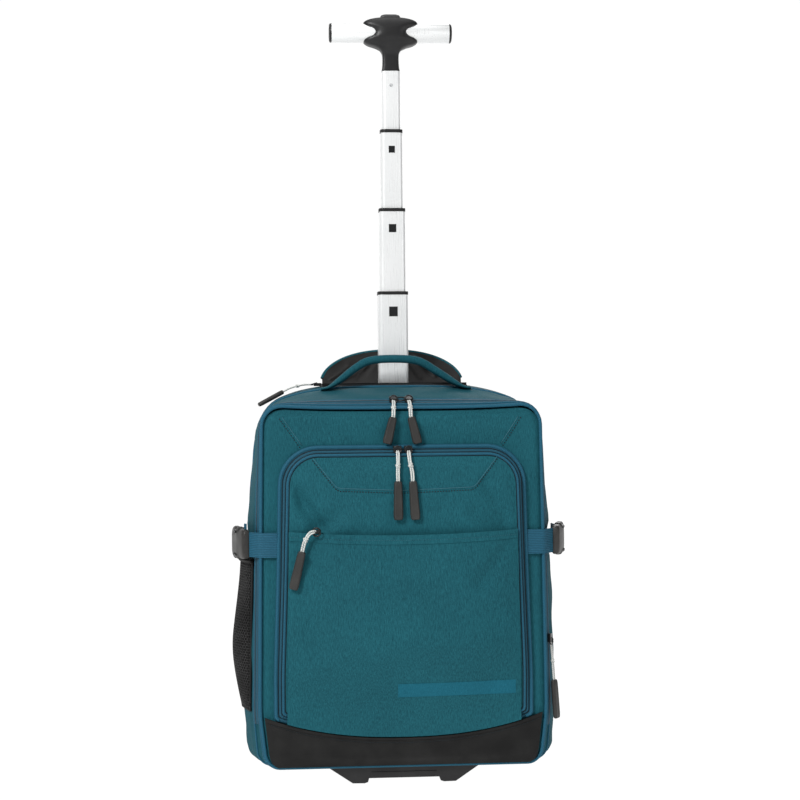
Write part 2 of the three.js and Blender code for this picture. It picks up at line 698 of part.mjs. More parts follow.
function makeHandle() {
  const top = gripAxis + hubHeight / 2;
  const low = gripAxis - hubHeight / 2;
  const lip = 5;
  const bevel = 2.5;
  const neckLow = tubeTable[3].top;
  const neckFoot = tubeTable[3].width / 2;
  const tip = hubHalf - bevel;
  const waist = hubWaist - bevel;
  const roof = top - bevel;
  const floor = low + bevel;
  const shoulder = buttonHalf + 4;
  const shape = new THREE.Shape();
  shape.moveTo(-shoulder, roof);
  shape.quadraticCurveTo(-tip + 4, roof - 1, -tip, roof - lip);
  shape.quadraticCurveTo(-waist, gripAxis + 6, -waist, gripAxis);
  shape.quadraticCurveTo(-waist, gripAxis - 6, -tip, floor + lip);
  shape.quadraticCurveTo(-tip + 4, floor + 1, -shoulder, floor);
  shape.lineTo(shoulder, floor);
  shape.quadraticCurveTo(tip - 4, floor + 1, tip, floor + lip);
  shape.quadraticCurveTo(waist, gripAxis - 6, waist, gripAxis);
  shape.quadraticCurveTo(waist, gripAxis + 6, tip, roof - lip);
  shape.quadraticCurveTo(tip - 4, roof - 1, shoulder, roof);
  const hub = new THREE.ExtrudeGeometry(shape, {
    depth: hubDepth - 2 * bevel, bevelEnabled: true, bevelThickness: bevel,
    bevelSize: bevel, bevelSegments: 1, curveSegments: 4,
  });
  hub.rotateX(Math.PI / 2);
  hub.translate(0, poleDepth + hubDepth / 2 - bevel, 0);

  const neck = new THREE.Shape();
  neck.moveTo(-neckFoot, neckLow);
  neck.lineTo(neckFoot, neckLow);
  neck.quadraticCurveTo(neckHalf, neckLow + 6, neckHalf, neckLow + 14);
  neck.quadraticCurveTo(neckHalf, low - 1, neckHalf + 7, low + 2);
  neck.lineTo(-neckHalf - 7, low + 2);
  neck.quadraticCurveTo(-neckHalf, low - 1, -neckHalf, neckLow + 14);
  neck.quadraticCurveTo(-neckHalf, neckLow + 6, -neckFoot, neckLow);
  const neckDepth = tubeTable[3].depth;
  const stem = new THREE.ExtrudeGeometry(neck, { depth: neckDepth, bevelEnabled: false, curveSegments: 3 });
  stem.rotateX(Math.PI / 2);
  stem.translate(0, poleDepth + neckDepth / 2, 0);

  const bore = new THREE.CylinderGeometry(gripRadius + gap, gripRadius + gap, gripSpan, 20);
  bore.rotateZ(Math.PI / 2);
  bore.translate(0, poleDepth, gripAxis);
  const buttonFloor = top - buttonTravel - gap;
  const slot = block(
    [-buttonHalf - gap, poleDepth - buttonDepth / 2 - gap, buttonFloor - buttonTravel],
    [buttonHalf + gap, poleDepth + buttonDepth / 2 + gap, top + 1]);
  addPiece('handle_hub', cutBy(joined([hub, stem]), [bore, slot]), black);

  const buttonShape = new THREE.Shape();
  buttonShape.moveTo(-buttonHalf, buttonFloor);
  buttonShape.lineTo(buttonHalf, buttonFloor);
  buttonShape.lineTo(buttonHalf, top);
  buttonShape.quadraticCurveTo(buttonHalf * 0.7, top + buttonProud, buttonHalf * 0.35, top + buttonProud);
  buttonShape.lineTo(-buttonHalf * 0.35, top + buttonProud);
  buttonShape.quadraticCurveTo(-buttonHalf * 0.7, top + buttonProud, -buttonHalf, top);
  const button = new THREE.ExtrudeGeometry(buttonShape, {
    depth: buttonDepth, bevelEnabled: false, curveSegments: 4,
  });
  button.rotateX(Math.PI / 2);
  button.translate(0, poleDepth + buttonDepth / 2, 0);
  addPiece('handle_button', button, black);

  const tubeHalf = gripSpan / 2 - capThick - gap;
  const profile = [
    [gripRadius - gripWall, -tubeHalf], [gripRadius, -tubeHalf],
    [gripRadius, tubeHalf], [gripRadius - gripWall, tubeHalf], [gripRadius - gripWall, -tubeHalf],
  ].map(([r, x]) => new THREE.Vector2(r, x));
  const grip = new THREE.LatheGeometry(profile, 20);
  grip.rotateZ(Math.PI / 2);
  grip.translate(0, poleDepth, gripAxis);
  addPiece('grip_tube', grip, silver);

  const plug = gripRadius - gripWall - gap;
  const capProfile = [
    [0, -6], [plug, -6], [plug, 0], [gripRadius, 0], [gripRadius - 0.4, capThick * 0.6],
    [gripRadius - 2.5, capThick], [0, capThick],
  ].map(([r, x]) => new THREE.Vector2(r, x));
  for (const [side, sign] of [['left', -1], ['right', 1]]) {
    const cap = new THREE.LatheGeometry(capProfile, 14);
    cap.rotateZ(-sign * Math.PI / 2);
    cap.translate(sign * (tubeHalf + gap), poleDepth, gripAxis);
    addPiece(`grip_cap_${side}`, cap, black);
  }
}

function makeStand() {
  const top = bagBottom - gap;
  const shape = new THREE.Shape();
  shape.moveTo(-standTopHalf, top);
  shape.lineTo(-standFootOuter, 0);
  shape.lineTo(-standFootInner - 1, 0);
  shape.lineTo(-standFootInner, barBottom);
  shape.lineTo(standFootInner, barBottom);
  shape.lineTo(standFootInner + 1, 0);
  shape.lineTo(standFootOuter, 0);
  shape.lineTo(standTopHalf, top);
  shape.lineTo(standFootInner + 5, top);
  shape.lineTo(standFootInner + 3, barTop);
  shape.lineTo(-standFootInner - 3, barTop);
  shape.lineTo(-standFootInner - 5, top);
  const stand = new THREE.ExtrudeGeometry(shape, { depth: standDepth, bevelEnabled: false });
  stand.rotateX(Math.PI / 2);
  stand.translate(0, standFront + standDepth, 0);
  addPiece('front_stand', stand, black);
}

function discAlongX(radius, width, x, sides) {
  const disc = new THREE.CylinderGeometry(radius, radius, width, sides);
  disc.rotateZ(Math.PI / 2);
  disc.translate(x, wheelDepth, wheelRadius);
  return disc;
}

function makeWheels() {
  const top = rearBottom - gap;
  const plateLow = top - mouldedWall;
  const pieces = [block([-bracketHalf, bracketFront, plateLow], [bracketHalf, bracketBack, top])];
  const lipHigh = 14;
  pieces.push(block(
    [-bracketHalf, bracketFront, plateLow - lipHigh], [bracketHalf, bracketFront + mouldedWall, top]));
  for (const sign of [-1, 1]) {
    const middle = sign * wheelSide;
    const reach = wheelWidth / 2 + 1.5;
    for (const side of [-1, 1]) {
      const low = middle + side * reach - (side < 0 ? mouldedWall : 0);
      pieces.push(discAlongX(cheekRadius, mouldedWall, low + mouldedWall / 2, 14));
      pieces.push(block(
        [low, wheelDepth - cheekRadius, wheelRadius], [low + mouldedWall, wheelDepth + cheekRadius, top - 1]));
    }
    pieces.push(discAlongX(axleRadius, 2 * reach + mouldedWall, middle, 12));
    const side = sign < 0 ? 'left' : 'right';
    const half = wheelWidth / 2;
    const rim = wheelRadius - treadWall;
    const bore = axleRadius + gap;
    const profile = [
      [bore, -half * 0.9], [9, -half * 0.9], [11, -half * 0.45], [rim - 3, -half * 0.45], [rim, -half],
      [wheelRadius - 2.5, -half], [wheelRadius, -half + 3.5], [wheelRadius, half - 3.5],
      [wheelRadius - 2.5, half], [rim, half], [rim - 3, half * 0.45], [11, half * 0.45],
      [9, half * 0.9], [bore, half * 0.9], [bore, -half * 0.9],
    ].map(([r, x]) => new THREE.Vector2(r, x));
    const wheel = new THREE.LatheGeometry(profile, 16);
    wheel.rotateZ(Math.PI / 2);
    wheel.translate(middle, wheelDepth, wheelRadius);
    addPiece(`wheel_${side}`, wheel, black);
  }
  addPiece('wheel_bracket', joined(pieces), black);
}

function makeBack() {
  const start = rearBack + gap;
  const rows = [
    { share: 0, inset: 0 }, { share: 0.55, inset: 0 }, { share: 1, inset: padEdge },
  ];
  const shares = outlineShares(padHalf, padTop - padBottom, padCornerLow, padCornerHigh, 3, 4, 4);
  const rings = rows.map((row) => shares.map(([s, t]) => new THREE.Vector3(
    s * (padHalf - row.inset), start + row.share * padWall,
    lerp(padBottom + row.inset, padTop - row.inset, t))));
  addPiece('back_panel', loft(rings), black);

  const face = start + padWall + gap;
  const strapTop = padTop - 14;
  const strapFoot = strapTop - strapDrop;
  for (const [side, sign] of [['left', -1], ['right', 1]]) {
    const middleAt = (v) => sign * (strapSpread + strapSway * Math.sin(v * Math.PI * 0.75));
    const pad = (from) => (u, v) => {
      const width = strapWidth * lerp(1, 0.55, smooth(v, 0.3, 1));
      const round = 1 - Math.abs(2 * u - 1) ** 4 * 0.6;
      const height = lerp(strapTop, strapFoot, v);
      return new THREE.Vector3(middleAt(v) + (u - 0.5) * width, face + (from ? strapWall * round : 0), height);
    };
    const tail = (from) => (u, v) => new THREE.Vector3(
      lerp(middleAt(1), sign * strapTailSpread, v) + (u - 0.5) * strapTailWidth,
      face + (from ? 2 * webbingWall : webbingWall / 2),
      lerp(strapFoot + 10, strapTailFoot, v));
    addPiece(`shoulder_strap_${side}`, joined([slab(4, 8, pad(1), pad(0)), slab(1, 1, tail(1), tail(0))]), black);
  }
}

// Rows of the side strap's way round the bag's edge. out is a share of the side's swell
// beyond the front panel, and back is a depth.
const strapWay = [
  { out: -0.79, back: -3.2 }, { out: -0.326, back: -3 }, { out: 0.102, back: -1.2 },
  { out: 0.39, back: 5.5 }, { out: 0.633, back: 11.5 },
];

function makeSideStraps() {
  const high = webbingMiddle + webbingWidth / 2;
  const low = webbingMiddle - webbingWidth / 2;
  const swell = bodyHalf - panelHalf;
  for (const [side, sign] of [['left', -1], ['right', 1]]) {
    const point = (lift) => (u, v) => {
      const at = Math.min(strapWay.length - 1, Math.round(u * (strapWay.length - 1)));
      const before = strapWay[Math.max(0, at - 1)];
      const after = strapWay[Math.min(strapWay.length - 1, at + 1)];
      const across = swell * (after.out - before.out);
      const length = Math.hypot(across, after.back - before.back);
      const outwards = [(after.back - before.back) / length, -across / length];
      const x = panelHalf * 0.99 + swell * strapWay[at].out + outwards[0] * lift;
      const y = strapWay[at].back + outwards[1] * lift;
      return new THREE.Vector3(sign * x, y, lerp(low, high, v));
    };
    addPiece(`side_strap_${side}`, slab(strapWay.length - 1, 1, point(webbingWall), point(0)), piping);

    const bevel = 2.5;
    const shape = roundedBar(buckleLength - 2 * bevel, buckleHeight - 2 * bevel, 7);
    const buckle = new THREE.ExtrudeGeometry(shape, {
      depth: buckleThick - 2 * bevel, bevelEnabled: true, bevelThickness: bevel,
      bevelSize: bevel, bevelSegments: 1, curveSegments: 3,
    });
    buckle.translate(0, 0, -(buckleThick - 2 * bevel) / 2);
    const tail = new THREE.BoxGeometry(34, webbingWidth, webbingWall);
    tail.rotateY(0.3);
    tail.translate(buckleLength / 2 + 12, 0, -5.5);
    const both = joined([buckle, tail]);
    both.rotateX(Math.PI / 2);
    both.rotateZ(THREE.MathUtils.degToRad(buckleTurn));
    const strapEnd = strapWay.at(-1);
    both.translate(
      panelHalf * 0.99 + swell * strapEnd.out + buckleOut, strapEnd.back + buckleBack, webbingMiddle);
    if (sign < 0) both.applyMatrix4(new THREE.Matrix4().makeScale(-1, 1, 1));
    if (sign < 0) both.index.array.reverse();
    addPiece(`buckle_${side}`, both, charcoal);
  }
}

function makeMeshPocket() {
  const point = (lift) => (u, v) => {
    const y = lerp(meshFront, meshBack, u);
    const z = lerp(meshBottom, meshTop, v);
    const full = Math.sin(Math.min(v * 1.9, 1) * Math.PI / 2) * lerp(1, meshMouth / meshBulge, smooth(v, 0.3, 1));
    const bulge = meshBulge * full * Math.sin(u * Math.PI) ** 0.7;
    return new THREE.Vector3(-(mainHalfAt(y, z) + gap + 0.4 + bulge + lift), y, z);
  };
  addPiece('mesh_pocket', slab(7, 6, point(meshWall), point(0)), black);
}

function cordTube(points, thick) {
  const curve = new THREE.CatmullRomCurve3(points);
  const shape = new THREE.Shape();
  for (let i = 0; i <= 8; i++) {
    const angle = (i / 8) * 2 * Math.PI;
    const [x, y] = [Math.cos(angle) * thick / 2, Math.sin(angle) * thick / 2];
    if (i === 0) shape.moveTo(x, y);
    else shape.lineTo(x, y);
  }
  const steps = Math.max(4, Math.round(curve.getLength() / (2.2 * thick)));
  return new THREE.ExtrudeGeometry(shape, { steps, extrudePath: curve });
}

function gripBar(from, to) {
  const along = to.clone().sub(from);
  const length = along.length();
  const bevel = 1.5;
  const shape = roundedBar(pullWidth - 2 * bevel, length - 2 * bevel, 3.6);
  const bar = new THREE.ExtrudeGeometry(shape, {
    depth: pullThick - 2 * bevel, bevelEnabled: true, bevelThickness: bevel,
    bevelSize: bevel, bevelSegments: 1, curveSegments: 1,
  });
  bar.translate(0, 0, -(pullThick - 2 * bevel) / 2);
  return bar;
}

// What each pull hangs on, in the order of its offsets.
const anchors = {
  upper: [0, 0, frontTop],
  lower: [0, -bandDepth, pocketTop],
  slip: [0, -(bandDepth + pocketCrown), slipTop],
  side: [bodyHalf, 0, 0],
  flap: [0, poleDepth, 0],
};

// The seven zip pulls: each cord's points and its grip's end as offsets from what it
// hangs on, with heights over the roof where it lies on that, and the direction that the grip's flat face looks in.
const pulls = [
  { name: 'upper_left', hangs: anchors.upper, faces: [0, -1, 0], end: [-17, -7.5, -36],
    route: [[-8.5, 7.2, 11.4], [-8.7, 2, 9.6], [-9, -2.6, 6], [-9.4, -5.4, 0], [-9.8, -6, -6.5]] },
  { name: 'upper_right', hangs: anchors.upper, faces: [0, -1, 0], end: [17, -7.5, -36],
    route: [[8.5, 7.2, 11.4], [8.7, 2, 9.6], [9, -2.6, 6], [9.4, -5.4, 0], [9.8, -6, -6.5]] },
  { name: 'lower_left', hangs: anchors.lower, faces: [0, -1, 0], end: [-6.6, -15.6, -81],
    route: [[-6, -2.8, -6.5], [-6, -7, -10.4], [-6.2, -10.2, -19.5], [-6.4, -11, -29], [-6.4, -12, -39]] },
  { name: 'lower_right', hangs: anchors.lower, faces: [0, -1, 0], end: [12, -15.6, -81],
    route: [[6, -2.8, -6.5], [6, -7, -10.4], [7, -10.2, -19.5], [9, -11, -29], [9.6, -12, -39]] },
  { name: 'slip', hangs: anchors.slip, faces: [-0.2, -1, 0], end: [-121, 3.2, -58],
    route: [[-97, -4.9, 4.8], [-98.4, -7.6, 5], [-103, -8, 3], [-108, -5, -5], [-111, -1.4, -16.5]] },
  { name: 'side', hangs: anchors.side, faces: [0.8, -0.6, 0], end: [-7.5, 7, 67],
    route: [[-12.9, 11, 151], [-12.2, 9.5, 143], [-11.5, 8.5, 132], [-10.7, 8.2, 121], [-10, 8.2, 110]] },
  { name: 'flap', hangs: anchors.flap, onRoof: true, faces: [-0.3, 0, 1], end: [-158, -11.5, 3.1],
    route: [[-94.4, -0.5, 3.6], [-103, -1.5, 5.3], [-112, -3.5, 6], [-121, -5.5, 6.2], [-129, -7.5, 5]] },
];

function makePulls() {
  for (const pull of pulls) {
    const hangs = new THREE.Vector3(...pull.hangs);
    const place = (offset) => {
      const point = new THREE.Vector3(...offset).add(hangs);
      if (pull.onRoof) point.z += roofAt(point.y, point.x);
      return point;
    };
    const points = pull.route.map(place);
    addPiece(`${pull.name}_cord`, cordTube(points, pullCord), cordWhite);
    const last = points.at(-1);
    const end = place(pull.end);
    const along = end.clone().sub(last).normalize();
    const from = last.clone().addScaledVector(along, gap);
    const grip = addPiece(`${pull.name}_pull`, gripBar(from, end), charcoal);
    const face = new THREE.Vector3(...pull.faces);
    face.addScaledVector(along, -face.dot(along)).normalize();
    const side = new THREE.Vector3().crossVectors(along, face);
    grip.position.copy(from.clone().add(end).multiplyScalar(0.5));
    grip.setRotationFromMatrix(new THREE.Matrix4().makeBasis(side, along, face));
  }
}

// A zip slider lies on its zip: its long way along the zip, its face outwards.
function sliderShape(sideways) {
  return block(
    [sideways - sliderLong / 2, -sliderWide / 2, gap],
    [sideways + sliderLong / 2, sliderWide / 2, gap + sliderHigh]);
}

function addSlider(name, geometry, point, along, outwards) {
  const slider = addPiece(name, geometry, black);
  const side = new THREE.Vector3().crossVectors(outwards, along);
  slider.position.copy(point);
  slider.setRotationFromMatrix(new THREE.Matrix4().makeBasis(along, side, outwards));
}

const pairSpread = 8.5;
const lowerSpread = 6;
const sideSliderHeight = 156;
const slipSliderSide = 96;
const flapSliderSide = 89;

function makeSliders() {
  const lengthwise = new THREE.Vector3(1, 0, 0);
  const zipBack = mainZipDepth + zipTape;
  const lift = gap + zipHeight;
  const slope = (a, b) => new THREE.Vector3().subVectors(b, a).normalize();

  const near = new THREE.Vector3(0, mainZipDepth, ridgeAt(mainZipDepth) + lift);
  const far = new THREE.Vector3(0, zipBack, ridgeAt(zipBack) + lift);
  const across = slope(near, far);
  const ring = new THREE.TorusGeometry(pairSpread - sliderLong / 2 + 1.2, 0.8, 5, 12);
  ring.translate(0, 0, gap + sliderHigh / 2);
  const pair = joined([sliderShape(-pairSpread), sliderShape(pairSpread), ring]);
  const middle = near.clone().lerp(far, 0.5);
  addSlider('upper_sliders', pair, middle, lengthwise, lengthwise.clone().cross(across));

  const bandPoint = (inset) => new THREE.Vector3(
    0, -(bandFace(inset)(0, pocketTop - inset) + lift), pocketTop - inset);
  const upper = bandPoint(frontZipInset);
  const lower = bandPoint(frontZipInset + frontZipWidth);
  const down = slope(upper, lower);
  for (const [side, sign] of [['left', -1], ['right', 1]]) {
    const place = upper.clone().lerp(lower, 0.5).setX(sign * lowerSpread);
    addSlider(`lower_slider_${side}`, sliderShape(0), place, lengthwise, down.clone().cross(lengthwise));
  }

  const slipPlace = new THREE.Vector3(-slipSliderSide, -(bandDepth + pocketCrown) + 0.6, slipTop + 2 * gap + 1.8);
  addSlider('slip_slider', sliderShape(0), slipPlace, lengthwise, new THREE.Vector3(0, 0, 1));

  const sideNear = new THREE.Vector3(mainHalfAt(mainZipDepth, sideSliderHeight) + lift, mainZipDepth, sideSliderHeight);
  const sideFar = new THREE.Vector3(mainHalfAt(zipBack, sideSliderHeight) + lift, zipBack, sideSliderHeight);
  const outwards = new THREE.Vector3().crossVectors(slope(sideNear, sideFar), new THREE.Vector3(0, 0, 1));
  addSlider('side_slider', sliderShape(0), sideNear.clone().lerp(sideFar, 0.5), new THREE.Vector3(0, 0, 1), outwards);

  const flapPlace = new THREE.Vector3(-flapSliderSide, poleDepth, roofAt(poleDepth, flapSliderSide) + 2 * gap);
  addSlider('flap_slider', sliderShape(0), flapPlace, lengthwise, new THREE.Vector3(0, 0, 1));
}

makeBody();
makeFrontPanel();
makeFrontPocket();
makeSlipPocket();
makeBaseGuard();
makeZips();
makeWell();
makeFlap();
makeCarryHandle();
makePole();
makeHandle();
makeStand();
makeWheels();
makeBack();
makeSideStraps();
makeMeshPocket();
makePulls();
makeSliders();

export default bag;
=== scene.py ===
# %% [markdown]
# # A wheeled backpack
# The real bag is cut from heather polyester, edged with piping, closed by coil zips, and
# carried on a front stand, two wheels and a four-tube pole with a T-handle.
# The CAD solids fix every size, so this file only dresses them: each soft piece is a mesh
# of its own made from the same sections, with the folds and trimmings that cloth has.

# %% Load the fixed frame
from math import cos, pi, radians, sin

import bpy
import numpy as np
from mathutils import Matrix, Vector


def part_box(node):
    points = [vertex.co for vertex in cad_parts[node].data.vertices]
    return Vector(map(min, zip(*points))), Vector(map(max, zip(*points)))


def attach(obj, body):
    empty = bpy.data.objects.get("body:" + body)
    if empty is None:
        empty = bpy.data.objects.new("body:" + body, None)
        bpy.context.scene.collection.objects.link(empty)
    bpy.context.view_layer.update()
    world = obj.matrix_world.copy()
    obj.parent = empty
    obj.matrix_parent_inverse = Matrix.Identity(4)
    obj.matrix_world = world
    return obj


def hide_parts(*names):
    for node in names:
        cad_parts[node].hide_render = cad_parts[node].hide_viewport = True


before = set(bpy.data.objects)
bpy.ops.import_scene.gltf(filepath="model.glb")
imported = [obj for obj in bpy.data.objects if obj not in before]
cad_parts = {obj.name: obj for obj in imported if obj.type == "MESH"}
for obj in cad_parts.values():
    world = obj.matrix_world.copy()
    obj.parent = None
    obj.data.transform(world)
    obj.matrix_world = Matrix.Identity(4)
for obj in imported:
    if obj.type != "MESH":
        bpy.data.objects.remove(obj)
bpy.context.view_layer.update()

# %% [markdown]
# ## Places in millimetres
# A bag maker measures from the face of the front panel, so all points below are in
# millimetres with depth counted from that face. One function turns them into the
# frame's metres when a mesh is made, and nothing else has to think about units.

# %% From the maker's millimetres to the frame's metres
FACE_Y = -75.3


def placed(points):
    return (np.asarray(points, float) + [0, FACE_Y, 0]) / 1000


def lerp(a, b, t):
    return a + (b - a) * t


def smooth(x, a, b):
    t = np.clip((x - a) / (b - a), 0, 1)
    return t * t * (3 - 2 * t)


def unit(v):
    v = np.asarray(v, float)
    return v / np.maximum(np.linalg.norm(v, axis=-1, keepdims=True), 1e-9)


def xyz(x, y, z):
    """Points from three coordinates, each an array or a single number."""
    return np.stack(np.broadcast_arrays(x, y, z), -1)


def both_sides(half):
    """Half a profile of (sideways, other) followed by its mirror image."""
    return [*half, *[(-x, other) for x, other in half[::-1]]]


def turns(count):
    """Angles at even steps once round."""
    return np.linspace(0, 2 * pi, count, endpoint=False)


def boxed(angle, across, up):
    """Cosine and sine raised to powers below one, which turn a circle into a rounded box."""
    c, s = np.cos(angle), np.sin(angle)
    return np.sign(c) * np.abs(c) ** across, np.sign(s) * np.abs(s) ** up


print("front face at", placed([0, 0, 0]))

# %% [markdown]
# ## One gatherer for meshes
# Cloth, piping and webbing are all rows of points. A small gatherer takes such rows as
# grids and sweeps, keeps which finish each face wears, and makes one mesh per piece.
# Modifiers could do part of this, but rows keep every edge where the CAD has it.

# %% Gather rows of points into a piece
class Shape:
    """Points and faces of one piece, with a finish number for each face."""

    def __init__(self):
        self.points, self.faces, self.slots, self.count = [], [], [], 0

    def add(self, points, faces, slot=0):
        """Points with faces that count from the first of them."""
        points = np.asarray(points, float).reshape(-1, 3)
        faces = [tuple(int(i) + self.count for i in face) for face in faces]
        self.points.append(points)
        self.faces += faces
        self.slots += [slot] * len(faces)
        self.count += len(points)
        return self

    def grid(self, rows, slot=0, around=False, along=False, caps=False):
        """Faces between neighbouring rows; around closes each row, along the column."""
        rows = np.asarray(rows, float)
        n, m = rows.shape[:2]
        j, i = np.meshgrid(np.arange(n if along else n - 1), np.arange(m if around else m - 1),
                           indexing="ij")
        nj, ni = (j + 1) % n, (i + 1) % m
        faces = np.stack([j * m + i, j * m + ni, nj * m + ni, nj * m + i], -1).reshape(-1, 4)
        faces = faces.tolist()
        if caps:
            faces += [list(range(m))[::-1], [(n - 1) * m + k for k in range(m)]]
        return self.add(rows, faces, slot)

    def sheet(self, rows, wall, slot=0, around=False):
        """A cloth with two sides: the rows, the same rows a wall further in, and its hems."""
        rows = np.asarray(rows, float)
        inner = rows - normals(rows, around) * wall
        self.grid(rows, slot, around)
        self.grid(inner[:, ::-1], slot, around)
        for edge in (0, -1):
            pair = np.stack([rows[edge], inner[edge]])
            self.grid(pair if edge else pair[::-1], slot, around)
        if not around:
            for edge in (0, -1):
                pair = np.stack([rows[:, edge], inner[:, edge]])
                self.grid(pair[::-1] if edge else pair, slot)
        return self

    def sweep(self, path, profile, up=(0, 0, 1), slot=0, closed=False):
        """A profile of (sideways, up) points carried along a path."""
        path = np.asarray(path, float)
        if closed:
            along = unit(np.roll(path, -1, 0) - np.roll(path, 1, 0))
        else:
            along = unit(np.gradient(path, axis=0))
        up = np.broadcast_to(np.asarray(up, float), path.shape)
        side = unit(np.cross(along, up))
        top = np.cross(side, along)
        profile = np.asarray(profile, float)
        rows = path[:, None] + side[:, None] * profile[:, :1] + top[:, None] * profile[:, 1:]
        return self.grid(rows[:, ::-1], slot, around=True, along=closed, caps=not closed)

    def tube(self, path, radius, slot=0, closed=False, sides=8, up=(0, 0, 1)):
        return self.sweep(path, circle(radius, sides), up, slot, closed)

    def piece(self, name, body, finishes, stands_for=(), crease=None):
        """The mesh itself, riding on a body and standing for nodes of the CAD."""
        mesh = bpy.data.meshes.new(name)
        mesh.from_pydata(placed(np.concatenate(self.points)).tolist(), [], self.faces)
        for finish in finishes:
            mesh.materials.append(finish.material)
        mesh.polygons.foreach_set("material_index", self.slots)
        mesh.polygons.foreach_set("use_smooth", [True] * len(self.faces))
        mesh.validate()
        if crease:
            mesh.set_sharp_from_angle(angle=radians(crease))
        made = bpy.data.objects.new(name, mesh)
        bpy.context.scene.collection.objects.link(made)
        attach(made, body)
        if stands_for:
            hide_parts(*stands_for)
        print(f"{name}: {len(self.faces)} faces on {body}")
        return made


def normals(rows, around=False):
    """Outward directions of a grid whose columns run right and rows run up."""
    rows = np.asarray(rows, float)
    if around:
        across = np.roll(rows, -1, 1) - np.roll(rows, 1, 1)
    else:
        across = np.gradient(rows, axis=1)
    return unit(np.cross(across, np.gradient(rows, axis=0)))


def circle(radius, sides=8):
    turn = np.arange(sides) / sides * 2 * pi
    return np.stack([np.cos(turn), np.sin(turn)], -1) * radius


def spline(points, count):
    """A smooth path through given points, evenly spaced."""
    p = np.asarray(points, float)
    p = np.vstack([2 * p[0] - p[1], p, 2 * p[-1] - p[-2]])
    out = []
    for a, b, c, d in zip(p, p[1:], p[2:], p[3:]):
        for t in np.linspace(0, 1, 16, endpoint=False):
            out.append(.5 * (2 * b + (c - a) * t + (2 * a - 5 * b + 4 * c - d) * t ** 2
                             + (3 * b - a - 3 * c + d) * t ** 3))
    return even(np.array(out + [p[-2]]), count)


def even(path, count):
    """The same path with points at equal steps."""
    steps = np.linalg.norm(np.diff(path, axis=0), axis=1)
    run = np.concatenate([[0], np.cumsum(steps)])
    at = np.linspace(0, run[-1], count)
    return np.stack([np.interp(at, run, path[:, k]) for k in range(path.shape[1])], -1)


def length_of(path):
    return float(np.linalg.norm(np.diff(path, axis=0), axis=1).sum())


print("a test path of", round(length_of(spline([[0, 0, 0], [10, 0, 0], [20, 5, 0]], 20)), 1), "mm")

# %% [markdown]
# ## Finishes as sums
# A finish is a shader and a few nodes that vary its colour, gloss and relief. Wiring
# nodes by hand hides the idea, so a small class lets a socket take part in ordinary
# sums: `1 - mask` or `grain * 0.3 + streak` add the Math nodes by themselves.

# %% A socket that can be added and multiplied, and the finish it belongs to
class Value:
    """A number, colour or vector on its way through a finish."""

    def __init__(self, finish, socket):
        self.finish, self.socket = finish, socket

    def sum_with(self, operation, first, second):
        return self.finish.node("ShaderNodeMath", {"operation": operation}, {0: first, 1: second})

    def __add__(self, other):
        return self.sum_with("ADD", self, other)

    def __sub__(self, other):
        return self.sum_with("SUBTRACT", self, other)

    def __rsub__(self, other):
        return self.sum_with("SUBTRACT", other, self)

    def __mul__(self, other):
        return self.sum_with("MULTIPLY", self, other)

    def __pow__(self, other):
        return self.sum_with("POWER", self, other)

    __radd__ = __add__
    __rmul__ = __mul__


def colour(code):
    """A colour as given, such as 2a6672, in the shader's own linear numbers."""
    parts = [int(code[i:i + 2], 16) / 255 for i in (0, 2, 4)]
    return (*[c / 12.92 if c <= .04045 else ((c + .055) / 1.055) ** 2.4 for c in parts], 1)


class Finish:
    """A material with one shader. Constant sockets are set on the shader itself."""

    def __init__(self, name, tint, **constants):
        self.material = bpy.data.materials.new(name)
        self.material.use_nodes = True
        self.tree = self.material.node_tree
        self.shader = self.tree.nodes["Principled BSDF"]
        self.shader.inputs["Base Color"].default_value = colour(tint)
        for socket, value in constants.items():
            title = socket.replace("_", " ").title().replace("Ior", "IOR")
            self.shader.inputs[title].default_value = value

    def node(self, kind, settings, sockets, output=0):
        made = self.tree.nodes.new(kind)
        for setting, value in settings.items():
            setattr(made, setting, value)
        for socket, value in sockets.items():
            if isinstance(value, Value):
                self.tree.links.new(value.socket, made.inputs[socket])
            else:
                made.inputs[socket].default_value = value
        return Value(self, made.outputs[output])

    def feed(self, socket, value):
        self.tree.links.new(value.socket, self.shader.inputs[socket])
        return self

    def millimetres(self, x=1, y=1, z=1):
        """Places on the object in millimetres, stretched along each axis."""
        spot = self.node("ShaderNodeTexCoord", {}, {}, "Object")
        return self.node("ShaderNodeVectorMath", {"operation": "MULTIPLY"},
                         {0: spot, 1: (1000 * x, 1000 * y, 1000 * z)})

    def noise(self, spot, scale, detail=2.0):
        return self.node("ShaderNodeTexNoise", {}, {"Vector": spot, "Scale": scale, "Detail": detail})

    def wave(self, spot, scale, direction="X", profile="SIN", shake=0.0):
        return self.node("ShaderNodeTexWave", {"bands_direction": direction, "wave_profile": profile},
                         {"Vector": spot, "Scale": scale, "Distortion": shake}, "Fac")

    def between(self, value, low, high, start=0.0, end=1.0):
        """A value stretched from low..high to start..end and held there."""
        return self.node("ShaderNodeMapRange", {}, {0: value, 1: low, 2: high, 3: start, 4: end})

    def mix(self, first, second, share):
        return self.node("ShaderNodeMix", {"data_type": "RGBA"},
                         {0: share, 6: first, 7: second}, 2)

    def tint(self, dark, light, share):
        """The base colour, from dark to light with a share."""
        return self.feed("Base Color", self.mix(colour(dark), colour(light), share))

    def rough(self, value, low, high, start, end):
        return self.feed("Roughness", self.between(value, low, high, start, end))

    def relief(self, height, depth_mm, strength):
        """Relief of a given depth, as a Bump node on the shader's normal."""
        bump = self.node("ShaderNodeBump", {}, {"Strength": strength, "Distance": depth_mm / 1000,
                                                "Height": height})
        return self.feed("Normal", bump)


print("a mid teal is", [round(c, 3) for c in colour("2a6672")])

